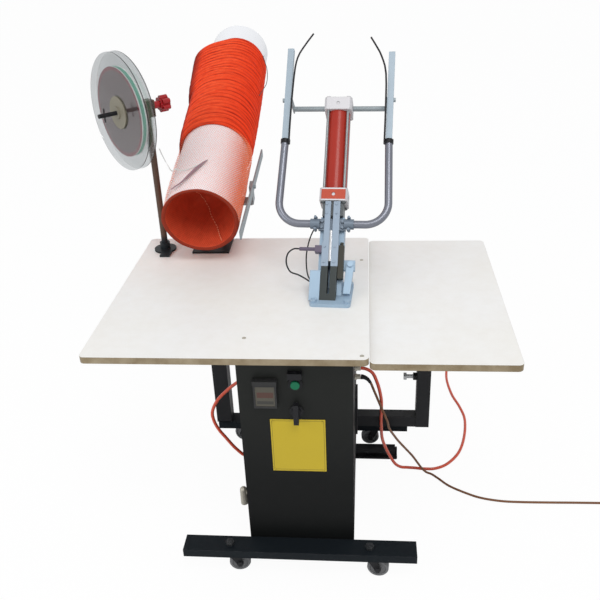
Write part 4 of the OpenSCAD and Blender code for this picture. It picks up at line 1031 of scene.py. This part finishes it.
# dark mauve paint for the tape's painted shadow
tape_shadow_paint = everyday("mauve_painted_tape_shadow", (0.30, 0.17, 0.20), tint=(0.20, 0.11, 0.14), rough=0.4,
                      radius=0.0002)
free += across[1:]
tail = ribbon("tape_end_to_net", free, [TAPE_EDGE] * len(free), from_pipe, "net_tube")
painted_tape_shadow = ribbon("tape_shadow_on_net", back, widening + narrowing, from_pipe, "net_tube")
for piece, paint in ((tail, white_tape), (painted_tape_shadow, tape_shadow_paint)):
    piece.data.materials.append(paint)
print("tape end:", len(tail.data.polygons), "and", len(painted_tape_shadow.data.polygons), "faces")

# %% [markdown]
# Small parts close the work: a tapered sleeve where the mains cable leaves the cabinet, ties round
# the two coils, and the three countersunk screws that hold the main table.

# %% Sleeve, ties and screws
def ring_rows(centres, radii, count=20):
    rows = []
    for i, (c, r) in enumerate(zip(centres, radii)):
        ahead = (centres[min(i + 1, len(centres) - 1)] - centres[max(i - 1, 0)]).normalized()
        side = ahead.cross(Vector((0, 0, 1)) if abs(ahead.z) < 0.9 else Vector((0, 1, 0))).normalized()
        up = side.cross(ahead)
        rows.append([c + (side * math.cos(t) + up * math.sin(t)) * r / 1000 for t in angles_round(count)])
    return rows


SLEEVE_WIDE, SLEEVE_THIN, GROOVE, SLEEVE_BORE = 6.4, 3.5, 0.35, 3.05
sleeve_route = [(136.4, 222, 416), (144, 221.6, 414.8), (152, 220, 410.8), (159.5, 217.4, 402)]
sleeve_line = metres(smooth(sleeve_route, 8))
last = len(sleeve_line) - 1
sleeve_radii = [SLEEVE_WIDE - (SLEEVE_WIDE - SLEEVE_THIN) * i / last - (GROOVE if i % 4 == 3 else 0)
                for i in range(last + 1)]
sleeve_radii[0] = sleeve_radii[last] = SLEEVE_BORE
sleeve = lofted("mains_strain_relief", ring_rows(sleeve_line, sleeve_radii), body="stand")
sleeve.data.materials.append(black_rubber)


def coil_tie(name, middle, radius, angle, cord_d, top):
    a = math.radians(angle)
    out = Vector((math.cos(a), math.sin(a), 0))
    over = Vector((-math.sin(a), math.cos(a), 0))
    up = Vector((0, 0, 1))
    centre = at(middle[0] + radius * out.x, middle[1] + radius * out.y, (top + 0.3) / 2)
    half_w, half_h = (cord_d / 2 + 0.9) / 1000, (top - 0.3) / 2000
    rows = []
    for across, shrink in ((-2.0, 0.2), (-1.6, 0), (1.6, 0), (2.0, 0.2), (1.6, 0.6), (-1.6, 0.6)):
        row = []
        for t in angles_round(28):
            c, z = math.cos(t), math.sin(t)
            grow = 1 / max(abs(c), abs(z)) ** 0.75
            side, rise = c * grow * (half_w - shrink / 1000), z * grow * (half_h - shrink / 1000)
            row.append(centre + out * side + up * rise + over * across / 1000)
        rows.append(row)
    rows.append(rows[0])
    piece = lofted(name, rows, body="stand")
    piece.data.materials.append(black_rubber)
    return piece


hose_tie = coil_tie("hose_coil_tie", HOSE_COIL_PLACE, HOSE_COIL_R, 200, HOSE_D, 35)
cable_tie = coil_tie("mains_coil_tie", CABLE_COIL_PLACE, CABLE_COIL_R, 80, CABLE_D, 27)

SCREWS = ((140.3, 15.1), (136.6, 466.6), (-105.7, 81.3))
HEAD = ((4.6, 0.05), (4.3, 0.45), (3.4, 0.75), (1.9, 0.85), (1.6, 0.25), (0.2, 0.2))
RECESS_BELOW_R = 2
for number, (x, y) in enumerate(SCREWS, 1):
    rows = []
    for r, z in HEAD:
        cross = 0.25 if r < RECESS_BELOW_R else 0
        row = [(r * (1 + cross * math.cos(4 * t)), t) for t in angles_round(32)]
        rows.append([at(x + q * math.cos(t), y + q * math.sin(t), TABLE_TOP + z) for q, t in row])
    screw = lofted("table_screw_%d" % number, rows, body="stand")
    screw.data.materials.append(finishes["brass"])
print("sleeve, ties and screws placed")

# %% [markdown]
# The connector and the plug are solids that lie on the coil's tail. The cords, the ties round the coils
# and the sleeve at the cabinet all ride the stand.

print("cords in place")

# %% [markdown]
# Last, the box of what shows is printed.

# %% Sizes and finish
low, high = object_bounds()
print("box of what shows:", [round(v, 3) for v in low], [round(v, 3) for v in high])
